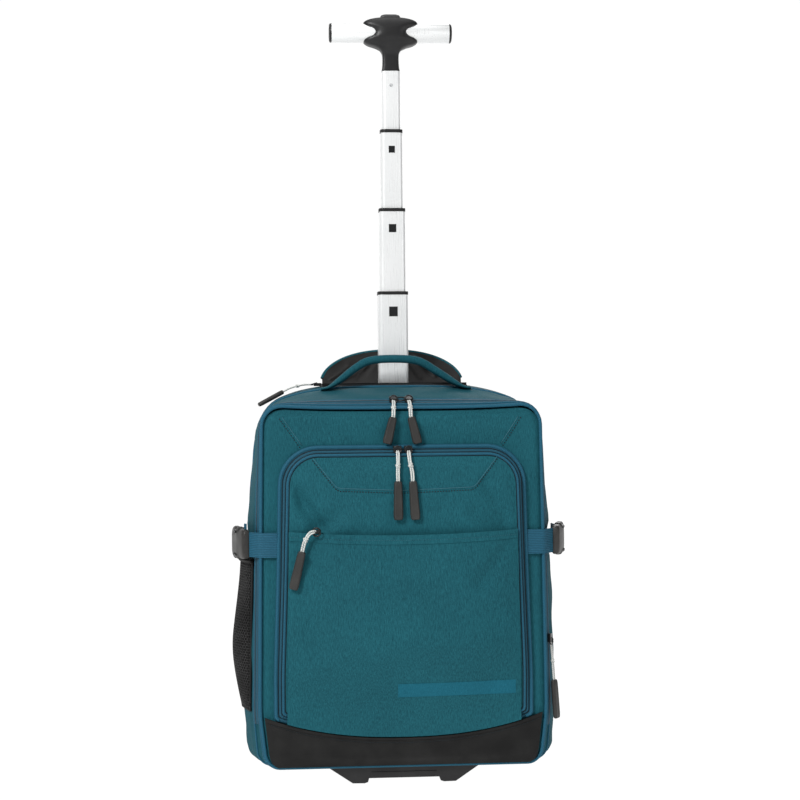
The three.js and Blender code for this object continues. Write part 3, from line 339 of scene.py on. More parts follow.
# %% [markdown]
# ## Heather cloth
# Heather polyester is spun from light and dark fibres, so it shows fine streaks along the
# yarn, one or two millimetres wide, over a darker ground. Long thin noise gives the
# streaks, a second one the slow change over a panel, and a fine weave gives the relief.

# %% Heather cloth, lighter for the front and darker for the rear
def heather(name, dark, light, along=(1, 1, .12), gloss=.86):
    f = Finish(name, light, ior=1.3)
    streak = f.noise(f.millimetres(*along), 1.5, 2.0)
    speck = f.noise(f.millimetres(1, 1, .6), 1.9, 1.0)
    slow = f.noise(f.millimetres(), .012, 2.0)
    share = f.between(streak * .6 + speck * .4, .3, .7) * .8 + slow * .3 - .05
    f.tint(dark, light, share)
    f.rough(streak, .3, .7, gloss + .05, gloss - .07)
    weave = f.wave(f.millimetres(), .35, "Z", shake=1.5) + f.wave(f.millimetres(), .35, "X", shake=1.5)
    return f.relief(weave * .3 + streak * .7, .22, .5)


teal_front = heather("teal heather", "073944", "1e6773")
teal_side = heather("teal heather side", "073540", "1b606c")
teal_dark = heather("dark teal heather", "08313c", "18525f")
print("heather finishes:", teal_front.material.name, "and", teal_dark.material.name)

# %% [markdown]
# ## Piping, webbing and zip tape
# Piping is a cord in a bias-cut strip, webbing is woven with ribs across it, and zip tape
# is a flat twill. All three are the same blue, so one recipe with a rib pitch serves.

# %% Ribbed blue trims
WAVES_A_UNIT = 3.18  # how often a wave of scale 1 repeats within one unit


def ribbed(name, dark, light, pitch, direction, depth=.3, gloss=.7):
    f = Finish(name, light, ior=1.35)
    rib = f.wave(f.millimetres(), 1 / (pitch * WAVES_A_UNIT), direction, shake=.4)
    fibre = f.noise(f.millimetres(), 1.2, 2.0)
    f.tint(dark, light, f.between(rib * .55 + fibre * .6, .2, .9))
    f.rough(fibre, .3, .7, gloss + .08, gloss - .06)
    return f.relief(rib * .8 + fibre * .3, depth, .7)


blue_piping = ribbed("blue piping", "104459", "22647c", .9, "DIAGONAL", .12)
blue_webbing = ribbed("blue webbing", "124457", "226079", 1.9, "Z", .45)
zip_cloth = ribbed("zip tape", "123f50", "235b70", .8, "DIAGONAL", .1)
# A dark finish for the zip's coil and for dark stitches. The thin cords in the zip runs' slits wear it too,
# as painted shade in those gaps.
coil_stitches_and_slit_shade = ribbed("zip coil with dark stitches and painted slit shade", "0a161b", "142a33", .8, "DIAGONAL", .1, .5)
seam_thread = ribbed("sewing thread", "17424e", "357583", .6, "DIAGONAL", .1, .65)
dark_thread = ribbed("dark thread", "101416", "2b3235", .6, "DIAGONAL", .1, .65)
print("trims:", blue_piping.material.name, blue_webbing.material.name)

# %% [markdown]
# ## Black cloths
# The base guard is a coated cloth, matt with a faint plain weave. The flap is lined with
# thin satin that creases. The back is spacer mesh over foam, with small round holes.

# %% Coated cloth, lining and spacer mesh
def plain_cloth(name, dark, light, pitch, gloss, depth):
    f = Finish(name, light, ior=1.35)
    spot = f.millimetres()
    threads = 1 / (pitch * WAVES_A_UNIT)
    weave = f.wave(spot, threads, "X") * f.wave(spot, threads, "Z")
    scuff = f.noise(spot, .03, 3.0)
    f.tint(dark, light, f.between(scuff * .7 + weave * .3, .3, .75))
    f.rough(scuff, .35, .65, gloss + .06, gloss - .06)
    return f.relief(weave * .8 + scuff * .2, depth, .6)


guard_cloth = plain_cloth("black coated cloth", "0e0e0e", "212120", .8, .68, .12)
lining_cloth = plain_cloth("black lining", "0b0a0a", "1b1918", .5, .46, .05)
# A black sheet under the side pocket's net: painted shade inside the pocket.
pocket_shade_sheet = plain_cloth("black sheet of painted pocket shade", "0a0a0a", "181818", .6, .6, .1)
net_thread = plain_cloth("net thread", "2a2a2a", "484848", .6, .5, .1)


def spacer_mesh():
    f = Finish("back spacer mesh", "1d1d1f", sheen_weight=.1)
    cell = f.node("ShaderNodeTexVoronoi", {}, {"Vector": f.millimetres(), "Scale": .42,
                                               "Randomness": .15}, "Distance")
    hole = f.between(cell, .18, .42)
    # The holes are coloured near black: painted shade in them.
    f.tint("060606", "2a2a2d", hole)
    f.rough(cell, 0, .6, .95, .7)
    return f.relief(hole, .8, .8)


back_mesh = spacer_mesh()
print("black cloths:", guard_cloth.material.name, lining_cloth.material.name, back_mesh.material.name)

# %% [markdown]
# ## Plastics, metal, rubber and cord
# Moulded parts have a fine spark-eroded grain and slightly polished edges. The tubes are
# drawn aluminium, brushed along their length and anodised. The wheel treads are rubber.

# %% Hard finishes and the pull cord
def moulded(name, dark, light, gloss, grain=.06):
    f = Finish(name, light, ior=1.45)
    pores = f.noise(f.millimetres(), 1.4, 2.0)
    slow = f.noise(f.millimetres(), .05, 2.0)
    f.tint(dark, light, f.between(slow * .6 + pores * .4, .35, .65))
    f.rough(slow, .3, .7, gloss + .07, gloss - .05)
    return f.relief(pores, grain, .5)


black_plastic = moulded("black moulded plastic", "101011", "1d1d1e", .42)
grey_plastic = moulded("grey plastic", "323233", "454546", .4)
charcoal_plastic = moulded("charcoal plastic", "252423", "353432", .45)
tread_rubber = moulded("tread rubber", "101010", "1f1f1f", .75, .12)
slider_black = moulded("slider black", "0c0d0e", "1c1e20", .3, .02)


def drawn_aluminium(name, light, gloss):
    f = Finish(name, light, metallic=.25)
    line = f.noise(f.millimetres(1, 1, .02), 1.6, 3.0)
    stain = f.noise(f.millimetres(), .02, 2.0)
    f.tint("eceeee", light, f.between(line * .5 + stain * .5, .35, .6))
    f.rough(line, .3, .7, gloss + .07, gloss - .05)
    return f.relief(line, .004, .3)


tube_metal = drawn_aluminium("drawn aluminium", "f6f7f7", .3)
rivet_metal = drawn_aluminium("rivet metal", "8b8e90", .35)


def braided():
    f = Finish("pale pull cord", "dcdedb", sheen_weight=.2)
    braid = f.wave(f.millimetres(), .28, "DIAGONAL", shake=.6)
    f.tint("b4b8b4", "e6e8e4", f.between(braid, .2, .7))
    f.rough(braid, 0, 1, .85, .7)
    return f.relief(braid, .25, .7)


pull_cord = braided()
print("hard finishes:", black_plastic.material.name, tube_metal.material.name, pull_cord.material.name)

# %% [markdown]
# ## Camera, floor and light
# The photograph is taken level, from straight ahead and a few degrees to the bag's left,
# with a long lens. The floor glows an even white and curves up far behind. Broad lights
# leave only soft shading, and a sky that is darker at both sides darkens the edges.

# %% The photograph's camera
DISTANCE, EYE_HEIGHT, TURN, ROLL = 1.87, .422, radians(-4.3), radians(-.5)
lens = bpy.data.cameras.new("camera")
lens.lens, lens.sensor_width, lens.shift_x = 76.5, 36, -.002
camera = bpy.data.objects.new("camera", lens)
camera.location = (DISTANCE * sin(TURN), FACE_Y / 1000 - DISTANCE * cos(TURN), EYE_HEIGHT)
level = Matrix.Rotation(TURN, 3, "Z") @ Matrix.Rotation(pi / 2, 3, "X")
camera.rotation_euler = (level @ Matrix.Rotation(ROLL, 3, "Z")).to_euler()
bpy.context.scene.collection.objects.link(camera)
bpy.context.scene.camera = camera
print("camera at", [round(v, 3) for v in camera.location])

# %% White floor, wide lights and a sky that is darker at both sides
def studio_floor():
    f = Finish("studio floor", "101010", roughness=.9, emission_color=(1, 1, 1, 1),
               emission_strength=1.0)
    x = np.linspace(-9, 9, 5)
    bend = np.linspace(0, pi / 2, 9)
    line = [(-6, 0), *[(6 + 2 * sin(a), 2 - 2 * cos(a)) for a in bend], (8, 9)]
    points = [(a, y, z) for y, z in line for a in x]
    faces = [(r * 5 + i, r * 5 + i + 1, r * 5 + i + 6, r * 5 + i + 5)
             for r in range(len(line) - 1) for i in range(4)]
    mesh = bpy.data.meshes.new("floor")
    mesh.from_pydata(points, [], faces)
    mesh.polygons.foreach_set("use_smooth", [True] * len(faces))
    mesh.materials.append(f.material)
    floor = bpy.data.objects.new("floor", mesh)
    bpy.context.scene.collection.objects.link(floor)


def soft_light(name, place, aim, size, watts):
    light = bpy.data.lights.new(name, "AREA")
    light.shape, light.size, light.energy = "DISK", size, watts
    lamp = bpy.data.objects.new(name, light)
    lamp.location = place
    lamp.rotation_euler = (Vector(aim) - Vector(place)).to_track_quat("-Z", "Y").to_euler()
    bpy.context.scene.collection.objects.link(lamp)


studio_floor()
soft_light("key", (-1.7, -2.1, 2.2), (0, 0, .45), .9, 76)
soft_light("fill", (2.2, -2.2, 1.1), (0, 0, .4), 1.8, 9)
soft_light("top", (0, -.2, 2.6), (0, 0, .4), 2.0, 14)
soft_light("rear", (.6, 2.6, 1.8), (0, 0, .4), 2.0, 24)
world = bpy.data.worlds.new("studio")
world.use_nodes = True
sky = world.node_tree


def after(source, kind, **settings):
    """A node of the sky that takes up the first output of another."""
    made = sky.nodes.new(kind)
    for setting, value in settings.items():
        setattr(made, setting, value)
    sky.links.new(source.outputs[0], made.inputs[0])
    return made


toward_side = after(sky.nodes.new("ShaderNodeTexCoord"), "ShaderNodeSeparateXYZ")
steep = after(after(toward_side, "ShaderNodeMath", operation="ABSOLUTE"), "ShaderNodeMath",
              operation="POWER")
steep.inputs[1].default_value = 3
fade = after(steep, "ShaderNodeMapRange")
fade.inputs["To Min"].default_value, fade.inputs["To Max"].default_value = .27, .05
sky.nodes["Background"].inputs[0].default_value = (1, 1, 1, 1)
sky.links.new(fade.outputs[0], sky.nodes["Background"].inputs[1])
bpy.context.scene.world = world
bpy.context.scene.view_settings.view_transform = "Standard"
print("studio ready")

# %% [markdown]
# ## Cords of the zip pulls
# Each pull hangs on a doubled cord: one loop through the slider's ring, tied in a knot,
# with both ends moulded into the grip. A limp cord follows the cloth below it, so each
# route is listed point by point. Two strands are swept beside one centre line and knotted on it.

# %% Two strands and a knot on one line
PULLS = {
    "upper_left": ([(-8.5, 7.2, 421.4), (-8.7, 2, 419.6), (-9, -2.6, 416), (-9.4, -5.4, 410),
                    (-9.8, -6, 403.5)], (-17, -7.5, 374), (0, -1, 0)),
    "upper_right": ([(8.5, 7.2, 421.4), (8.7, 2, 419.6), (9, -2.6, 416), (9.4, -5.4, 410),
                     (9.8, -6, 403.5)], (17, -7.5, 374), (0, -1, 0)),
    "lower_left": ([(-6, -15.8, 366.5), (-6, -20, 362.6), (-6.2, -23.2, 353.5), (-6.4, -24, 344),
                    (-6.4, -25, 334)], (-6.6, -28.6, 292), (0, -1, 0)),
    "lower_right": ([(6, -15.8, 366.5), (6, -20, 362.6), (7, -23.2, 353.5), (9, -24, 344),
                     (9.6, -25, 334)], (12, -28.6, 292), (0, -1, 0)),
    "slip": ([(-97, -30.9, 280.8), (-98.4, -33.6, 281), (-103, -34, 279), (-108, -31, 271),
              (-111, -27.4, 259.5)], (-121, -22.8, 218), (-.2, -1, 0)),
    "side": ([(165.1, 11, 151), (165.8, 9.5, 143), (166.5, 8.5, 132), (167.3, 8.2, 121),
              (168, 8.2, 110)], (170.5, 7, 67), (.8, -.6, 0)),
    "flap": ([(-94.4, 128, 440.9), (-103, 127, 441), (-112, 125, 439.5), (-121, 123, 437),
              (-129, 121, 433)], (-158, 117, 417.5), (-.3, 0, 1)),
}
CORD_WIDE, CORD_INSIDE = 4.4, 10


def grip_frame(name):
    """Where a grip starts and ends, with its directions along, sideways and outward."""
    route, end, face = PULLS[name]
    along = unit(np.subtract(end, route[-1]))
    out = unit(np.array(face) - along * np.dot(face, along))
    return np.array(route[-1]) + along * .3, np.array(end), along, np.cross(along, out), out


def doubled_cord(name):
    """Both strands with their knot, and the centre line that ends inside the grip."""
    start, _, along, _, out = grip_frame(name)
    line = spline([*PULLS[name][0], start + along * CORD_INSIDE], 26)
    shape = Shape()
    spread = np.interp(np.linspace(0, 1, 26), [0, .12, .4, .55, 1], [.95, 1.15, .95, 1.2, 1.0])
    across = unit(np.cross(np.gradient(line, axis=0), out))
    for hand in (-1, 1):
        shape.tube(line + across * (hand * spread)[:, None], .95, up=out)
    knot = line[10]
    tangent = unit(line[11] - line[9])
    turn = turns(14)
    for shift, tilt in ((-.9, .5), (.9, -.5)):
        ring = (knot + tangent * shift + np.outer(np.cos(turn), unit(np.cross(tangent, out))) * 2.1
                + np.outer(np.sin(turn), out) * 1.25 + np.outer(np.cos(turn), tangent) * tilt)
        shape.tube(ring, .85, closed=True, sides=6, up=tangent)
    cord = shape.piece(f"{name}_doubled_cord", "bag", [pull_cord], [f"{name}_cord"])
    return cord, line


cords = {name: doubled_cord(name) for name in PULLS}

# %% [markdown]
# ## Grips of the zip pulls
# A grip is a small moulded bar, wider at its foot, with bevelled edges and a shallow
# thumb rest. Rows of an eight-sided section along the bar give the bevels directly.

# %% The seven grips
GRIP_WIDE, GRIP_THICK = 5.3, 2.7
GRIP_ROWS = [(0, .62, .7), (.02, .74, .9), (.1, .84, 1), (.5, .93, 1), (.86, 1, .95), (.96, .93, .9),
             (1, .78, .6)]


def bevelled(made, name, width, segments, degrees):
    """Rounded edges as a modifier, which leaves the mesh as it is."""
    bevel = made.modifiers.new(name, "BEVEL")
    bevel.width, bevel.segments = width, segments
    bevel.limit_method, bevel.angle_limit = "ANGLE", radians(degrees)
    return made


def grip(name):
    start, end, along, side, out = grip_frame(name)
    rows = []
    for share, w, t in GRIP_ROWS:
        middle = lerp(start, end, share)
        rest = 1 - .16 * np.exp(-((share - .6) / .22) ** 2)
        w, t = w * GRIP_WIDE, t * GRIP_THICK
        edge = [(-w, -t * .35), (-w * .72, -t), (w * .72, -t), (w, -t * .35), (w, t * .35),
                (w * .72, t), (w * .35, t * rest), (-w * .35, t * rest), (-w * .72, t), (-w, t * .35)]
        rows.append([middle + side * a + out * b for a, b in edge])
    made = Shape().grid(rows, around=True, caps=True).piece(
        f"{name}_grip", "bag", [charcoal_plastic], [f"{name}_pull"], crease=32)
    return bevelled(made, "soft edges", .0004, 2, 25)


for name, (cord, line) in cords.items():
    handle = grip(name)

# %% [markdown]
# ## The bag's own sections
# A soft bag keeps its shape because its panels are cut to widths that change with
# height, and because its sides swell between the stiff front panel and the back. The
# tables below are that pattern; every later piece reads its place from them.

# %% Sizes and sections of the bag
BAG_LOW, REAR_LOW, MAIN_DEEP, REAR_DEEP = 21, 70, 98, 62
HALF, PANEL_HALF, FRONT_TOP, REAR_TOP = 178, 156.5, 410, 446
CROWN, CROWN_POWER, FOOT_CORNER, TOP_CORNER, CLOTH = 26, 3.5, 15, 24, 1.8
POLE_DEPTH, ROOF_LEVEL, SIDES = 128.5, 400, (("left", -1), ("right", 1))
BODY_WIDTHS = [(0, .985), (.15, 1), (.5, .972), (.75, .95), (.9, .92), (1, .875)]
PANEL_WIDTHS = [(0, .955), (.15, 1), (.5, .99), (1, .975)]
MAIN_SECTIONS = [(0, 0, 0, -.2), (.08, .17, 0, 0), (.165, .36, 0, .2), (.32, .65, 0, .5),
                 (.56, .94, 0, .75), (.82, 1, 0, .85), (1, .85, 1, .92)]
REAR_SECTIONS = [(0, .85, 1, .92), (.22, .93, 0, .95), (.55, .86, .5, 1), (.82, .6, 3, 1),
                 (1, .15, 10, 1)]


def table(rows, share, column=1, blur=.02):
    """A column of a table at a share, straight between rows with its corners eased."""
    rows = np.array(rows, float)
    reads = [np.interp(np.asarray(share) + d, rows[:, 0], rows[:, column]) for d in (-blur, 0, blur)]
    return sum(reads) / 3


def section_at(rows, share):
    """Bulge, tuck and crown of a compartment at a share of its depth."""
    return [table(rows, share, k, .01) for k in (1, 2, 3)]


def ridge(depth):
    """The height of the bag's middle line, which rises towards the rear."""
    return lerp(FRONT_TOP, REAR_TOP, np.sqrt(np.clip(depth / (MAIN_DEEP + REAR_DEEP), 0, 1)))


def outline(half, height, low, high, counts=(24, 7, 44)):
    """Shares of a rounded outline, right way round from the middle of its foot."""
    edge, arc, side = counts
    turn = np.linspace(0, pi / 2, arc + 1)
    right = [(x, 0) for x in np.linspace(0, half - low, edge, endpoint=False)]
    right += [(half - low + low * sin(a), low - low * cos(a)) for a in turn]
    right += [(half, z) for z in np.linspace(low, height - high, side + 1)[1:-1]]
    right += [(half - high + high * cos(a), height - high + high * sin(a)) for a in turn]
    right += [(x, height) for x in np.linspace(half - high, 0, edge + 1)[1:]]
    left = [(-x, z) for x, z in right[-2:0:-1]]
    return np.array(right + left) / [half, height]


def body_ring(depth, section, bottom, inset):
    """The outline of the bag at a depth, once round from the middle of its foot."""
    bulge, tuck, crown = section
    tuck = tuck + inset
    top, floor = ridge(depth) - tuck, bottom + tuck
    half = lerp(PANEL_HALF, HALF, bulge)
    s, t = outline(half, top - floor, FOOT_CORNER, lerp(TOP_CORNER, CROWN, bulge)).T
    wide = lerp(PANEL_HALF * table(PANEL_WIDTHS, t), HALF * table(BODY_WIDTHS, t), bulge)
    roof = top - CROWN * crown * np.abs(s) ** CROWN_POWER
    return xyz(s * (wide - tuck), depth, lerp(floor, roof, t))


def main_ring(depth, inset=0.0):
    return body_ring(depth, section_at(MAIN_SECTIONS, depth / MAIN_DEEP), BAG_LOW, inset)


def rear_ring(depth):
    return body_ring(depth, section_at(REAR_SECTIONS, (depth - MAIN_DEEP) / REAR_DEEP), REAR_LOW, 0)


def reach_at(depth, height):
    """How far the main compartment's side stands from the middle."""
    ring = main_ring(depth)
    side = ring[ring[:, 0] > PANEL_HALF / 2]
    return np.interp(height, side[:, 2], side[:, 0])


print("widest ring:", main_ring(80)[:, 0].max().round(1), "mm from the middle")

# %% [markdown]
# ## Dents and creases
# Cloth over clothes and foam is never flat. Real dents follow seams, straps and corners,
# so each is given as a short line with a width and a height, and a sum of slow
# waves adds the small unevenness that is everywhere. Both move the cloth in or out.

# %% Listed folds and unevenness by formula
def uneven(points, size, height, turn=0.0):
    """Slow repeatable waves, in millimetres."""
    p = np.asarray(points, float) / size
    x, y, z = p[..., 0], p[..., 1], p[..., 2]
    a = np.sin(1.3 * x + 2.1 * z + 1.7 * np.sin(.9 * z - x + turn) + y + turn)
    b = np.sin(2.3 * z - 1.9 * x + 1.3 * np.sin(1.7 * x + y) + 2 * turn)
    c = np.sin(3.7 * x + 3.1 * y + 2.9 * z + 2 * np.sin(1.1 * z + turn))
    return height * (a * .5 + b * .35 + c * .15)


def folds(u, v, lines):
    """Heights of folds: each line is (u0, v0, u1, v1, width, height) on the cloth."""
    total = np.zeros(np.broadcast(u, v).shape)
    for u0, v0, u1, v1, width, height in lines:
        du, dv = u1 - u0, v1 - v0
        run = max(du * du + dv * dv, 1e-6)
        t = np.clip(((u - u0) * du + (v - v0) * dv) / run, 0, 1)
        away = ((u - u0 - t * du) ** 2 + (v - v0 - t * dv) ** 2) / width ** 2
        total = total + height * np.exp(-away)
    return total


SIDE_FOLDS = [
    (60, 264, 20, 262, 12, -3.2), (95, 330, 45, 352, 14, -2.2), (30, 395, 80, 372, 12, -2.0),
    (70, 60, 88, 120, 16, -2.0), (20, 150, 55, 205, 16, 1.6), (40, 40, 90, 34, 10, -1.6),
    (80, 180, 60, 240, 14, 1.4), (90, 300, 60, 285, 10, 1.8), (50, 100, 92, 90, 12, 1.3),
]


TOP_FOLDS = [(-95, 30, -70, 70, 12, -1.6), (95, 30, 74, 74, 12, -1.6), (-20, 60, 30, 48, 16, -1.1),
             (30, 88, 110, 80, 9, 1.0)]


def soft_body(rows):
    """Side folds and unevenness on rings of the body."""
    side = smooth(np.abs(rows[..., 0]), 120, 165)
    depth, height = rows[..., 1], rows[..., 2]
    lift = folds(depth, height + 6 * (rows[..., 0] < 0), SIDE_FOLDS) * side
    top = smooth(height, 385, 408) * (1 - side)
    lift += uneven(rows, 26, .9) * (side + .5 * top) * smooth(depth, 16, 34)
    lift += folds(rows[..., 0], depth, TOP_FOLDS) * top
    held = smooth(depth, 16, 24) * (1 - smooth(depth, MAIN_DEEP - 5, MAIN_DEEP - 1) * .8)
    return rows + normals(rows, around=True) * (lift * held)[..., None]


# %% The main compartment
depths = np.unique(np.concatenate([np.linspace(3.3, 22, 12), np.linspace(22, MAIN_DEEP, 34)]))
main_rows = soft_body(np.array([main_ring(d) for d in depths[::-1]]))
middle = np.array([0, MAIN_DEEP - .6, 230])
back_rim = main_rows[0] * [1, 0, 1] + middle * [0, 1, 0]
back_wall = np.array([lerp(middle, back_rim, share) for share in (.02, .5, .9, .985)])
main_body = Shape().sheet(np.concatenate([back_wall, main_rows]), CLOTH, around=True)
main_body.piece("main_compartment", "bag", [teal_side], ["main_shell"])

# %% [markdown]
# ## The rear compartment
# It is cut from a darker teal and holds the pole and a laptop. Its top is open where the
# handle well is let in, so the faces over the well are left out and a binding hides the
# cut edge. A boolean would also do it, but would leave ragged shading round the hole.

# %% The rear compartment with its opening for the handle well
WELL_HALF, WELL_FRONT, WELL_BACK = 84.3, 106.2, 150.8
rear_depths = np.unique(np.concatenate([
    np.linspace(98.3, WELL_FRONT, 5), np.linspace(WELL_FRONT, WELL_BACK, 15),
    np.linspace(WELL_BACK, 160, 8)]))
rear_rows = np.array([rear_ring(d) for d in rear_depths[::-1]])
over = (np.abs(rear_rows[..., 1] - POLE_DEPTH) < 22.4) & (rear_rows[..., 2] > ROOF_LEVEL)
for hand in (-1, 1):
    miss = np.abs(rear_rows[10, :, 0] - hand * WELL_HALF) + (rear_rows[10, :, 2] < ROOF_LEVEL) * 500
    column = np.argmin(miss)
    rear_rows[over[:, column], column, 0] = hand * WELL_HALF
lift = uneven(rear_rows, 24, .9, 2) * smooth(np.abs(rear_rows[..., 0]), 100, 150)
rear_rows += normals(rear_rows, around=True) * lift[..., None]
middle = np.array([0, MAIN_DEEP + REAR_DEEP, 256])
cap_rows = np.array([lerp(middle, rear_rows[0], share) for share in (.02, .5, .9)])
rear_shape = Shape().grid(np.concatenate([cap_rows, rear_rows]), around=True)
rear_points = np.concatenate(rear_shape.points)


def over_well(face):
    p = rear_points[list(face)].mean(0)
    return abs(p[0]) < WELL_HALF - .5 and WELL_FRONT < p[1] < WELL_BACK and p[2] > ROOF_LEVEL


rear_shape.faces = [f for f in rear_shape.faces if not over_well(f)]
rear_shape.slots = [0] * len(rear_shape.faces)
rear_shape.piece("rear_compartment", "bag", [teal_dark], ["rear_shell"])

# %% [markdown]
# ## The front panel
# The panel is stiffened with foam, so it stays nearly flat and turns back at its piped
# edge. A grid of rows that follow the panel's outline carries its shallow dents.

# %% A grid that fills a rounded outline
def half_share(t, half, height, low, high):
    """How far a rounded outline reaches at a share of its height."""
    z = np.asarray(t) * height
    foot = low - np.sqrt(np.clip(low ** 2 - (low - np.minimum(z, low)) ** 2, 0, None))
    above = np.maximum(z, height - high) - height + high
    head = high - np.sqrt(np.clip(high ** 2 - above ** 2, 0, None))
    return 1 - (foot + head) / half


def filled(half, low_z, high_z, low, high, widths, floor, roof, counts=(110, 130)):
    """Places x and z of a grid inside a rounded outline, closer together near its edge."""
    across = np.sin(np.linspace(-1, 1, counts[0]) * pi / 2 * .8) / sin(pi / 2 * .8)
    t = (1 - np.cos(np.linspace(0, pi, counts[1]))) / 2 * .5 + np.linspace(0, 1, counts[1]) * .5
    s = half_share(t, half, high_z - low_z, low, high)[:, None] * across[None]
    x = s * (half * table(widths, t))[:, None]
    z = lerp(floor(x), roof(x), t[:, None])
    return x, z


panel_x, panel_z = filled(
    PANEL_HALF, BAG_LOW, FRONT_TOP, FOOT_CORNER, TOP_CORNER, PANEL_WIDTHS,
    lambda x: BAG_LOW + 0 * x, lambda x: FRONT_TOP + .2 * CROWN * np.abs(x / PANEL_HALF) ** CROWN_POWER)
edge_x = np.abs(panel_x).max(1, keepdims=True) - np.abs(panel_x)
edge = np.minimum(np.minimum(edge_x, panel_z - BAG_LOW), FRONT_TOP - panel_z)
panel_dents = folds(panel_x, panel_z, [
    (-145, 300, -148, 180, 7, .7), (146, 330, 149, 230, 7, .7), (-120, 392, -60, 386, 9, .8),
    (60, 384, 118, 392, 9, -.7), (-20, 396, 40, 398, 8, -.6)])
panel_y = 3 * (1 - smooth(edge, -1, 7)) + panel_dents * smooth(edge, 2, 10)
panel_cloth = xyz(panel_x, panel_y, panel_z)
Shape().sheet(panel_cloth, 2.4).piece("front_panel_cloth", "bag", [teal_front], ["front_panel"])

# %% [markdown]
# ## The front pocket
# The pocket's face is joined to the panel by a band: piping, a coil zip and piping again.
# The face is fuller in its middle and lies flatter at its foot, where the base guard
# holds it down. Where the pocket is sewn in, the cloth is drawn into short dents.

# %% The pocket's band and face
POCKET_HALF, POCKET_TOP, BAND = 143, 373, 13
GUARD_MIDDLE, GUARD_RISE, GUARD_HALF = 52, 24, 153
POCKET_WIDTHS = [(0, 1), (.15, 1), (.55, .972), (1, .95)]


def guard_line(x):
    """The height of the base guard's upper edge."""
    return GUARD_MIDDLE + GUARD_RISE * np.minimum(1, np.abs(np.asarray(x) / GUARD_HALF)) ** 2.3


def pocket_stand(x, z):
    """How far the pocket's face stands off the panel."""
    across = np.clip(1 - np.abs(x / (POCKET_HALF - BAND)) ** 3, 0, None)
    middle, reach = (POCKET_TOP + GUARD_MIDDLE) / 2, (POCKET_TOP - GUARD_MIDDLE) / 2
    up = np.clip(1 - np.abs((z - middle) / reach) ** 3, 0, None)
    return (13 + 13 * across * up) * lerp(.45, 1, smooth(z, GUARD_MIDDLE, GUARD_MIDDLE + 110))


def pocket_ring(inset, lift=0.0):
    half, height = POCKET_HALF - inset, POCKET_TOP - GUARD_MIDDLE - 2 * inset
    s, t = outline(half, height, 3, max(9, 45 - inset), (40, 12, 60)).T
    x = s * (POCKET_HALF * table(POCKET_WIDTHS, t) - inset)
    z = lerp(guard_line(x) + .3 + inset, POCKET_TOP - inset, t)
    stand = lerp(1.8, pocket_stand(x, z), smooth(inset / BAND, 0, 1))
    return xyz(x, -stand - lift, z)


POCKET_FOLDS = [
    (-117, 322, -92, 286, 8, -7.5), (-104, 274, -70, 300, 8, -2.2), (-84, 276, -60, 285, 8, 1.4),
    (112, 292, 92, 330, 9, -3.6), (80, 300, 112, 272, 8, -2.4), (-20, 268, 40, 272, 10, -1.2),
    (-60, 345, 60, 348, 10, 1.2), (-122, 200, -118, 260, 8, -1.2), (120, 190, 118, 250, 8, -1.2),
]
pocket_x, pocket_z = filled(
    POCKET_HALF - BAND, GUARD_MIDDLE + BAND, POCKET_TOP - BAND, 3, 32,
    [(t, (POCKET_HALF * w - BAND) / (POCKET_HALF - BAND)) for t, w in POCKET_WIDTHS],
    lambda x: guard_line(x) + .3 + BAND, lambda x: POCKET_TOP - BAND + 0 * x, (120, 150))
near = np.abs(pocket_x).max(1, keepdims=True) - np.abs(pocket_x)
near = np.minimum(near, POCKET_TOP - BAND - pocket_z)
pocket_lift = (folds(pocket_x, pocket_z, POCKET_FOLDS)
               + uneven(xyz(pocket_x, 0, pocket_z), 22, .7, 1)) * smooth(near, 0, 14)
pocket_cloth = xyz(pocket_x, -pocket_stand(pocket_x, pocket_z) - pocket_lift, pocket_z)
BAND_ROWS = [(0, -.6), (.6, .3), (4.3, .5), (4.7, -1.0), (5.6, -1.0), (6, .4), (7.9, .4),
             (8.3, -1.1), (8.9, -1.1), (9.2, .6), (11.8, .8), (12.2, -1.2), (BAND, -1.2)]
band_rows = np.array([pocket_ring(inset, lift) for inset, lift in BAND_ROWS])
foot_rows = np.concatenate([[band_rows[0] * [1, 0, 1] + [0, -.3, 0]], band_rows])
pocket = Shape().grid(foot_rows, around=True).sheet(pocket_cloth, CLOTH, slot=1)
pocket.piece("front_pocket_cloth", "bag", [zip_cloth, teal_front], ["front_pocket"])

# %% [markdown]
# ## The slip pocket and the base guard
# The slip pocket is a single cloth with a hemmed top that hangs slightly open. The base
# guard wraps the foot of the panel, with its upper edge folded into a strip and sewn.

# %% The slip pocket
SLIP_TOP, SLIP_HALF = 276, 128.5


def slip_height(x):
    return SLIP_TOP + 4 * (np.abs(x) / 128) ** 2


def slip_grid(lift=0.0, low=0.0, count=96):
    side, t = np.meshgrid(np.linspace(-1, 1, 120), np.linspace(low, 1, count))
    x = side * SLIP_HALF * lerp(1, .975, t)
    z = lerp(guard_line(x) + 1.3, slip_height(x), t)
    slack = 5 * (1 - np.abs(side) ** 2.4) * smooth(t, .15, 1)
    soft = folds(x, z, SLIP_FOLDS) + uneven(xyz(x, 0, z), 24, .8, 3)
    lift = lift + soft * (1 - side ** 8) * smooth(t, 0, .1)
    return xyz(x, -(pocket_stand(x, z) + .9 + slack + 1.6 + lift), z)


SLIP_FOLDS = [
    (-118, 262, -80, 225, 9, -3.0), (-112, 215, -96, 150, 9, -2.4), (112, 258, 84, 222, 9, -2.8),
    (-60, 268, 50, 268, 7, .8), (60, 80, 100, 110, 12, -1.2), (-100, 85, -60, 75, 12, -1.0),
    (-30, 240, 40, 215, 14, .8), (96, 190, 108, 130, 10, -1.0), (-20, 130, 60, 150, 18, -.7),
]
slip_cloth = Shape().sheet(slip_grid(), 1.4).sheet(slip_grid(.7, .955, 6), .7)
slip_cloth.piece("slip_pocket_cloth", "bag", [teal_front], ["slip_pocket"])

# %% The base guard
GUARD_WIDTHS = [(0, .905), (.06, .94), (.16, .962), (.3, .972), (1, 1)]


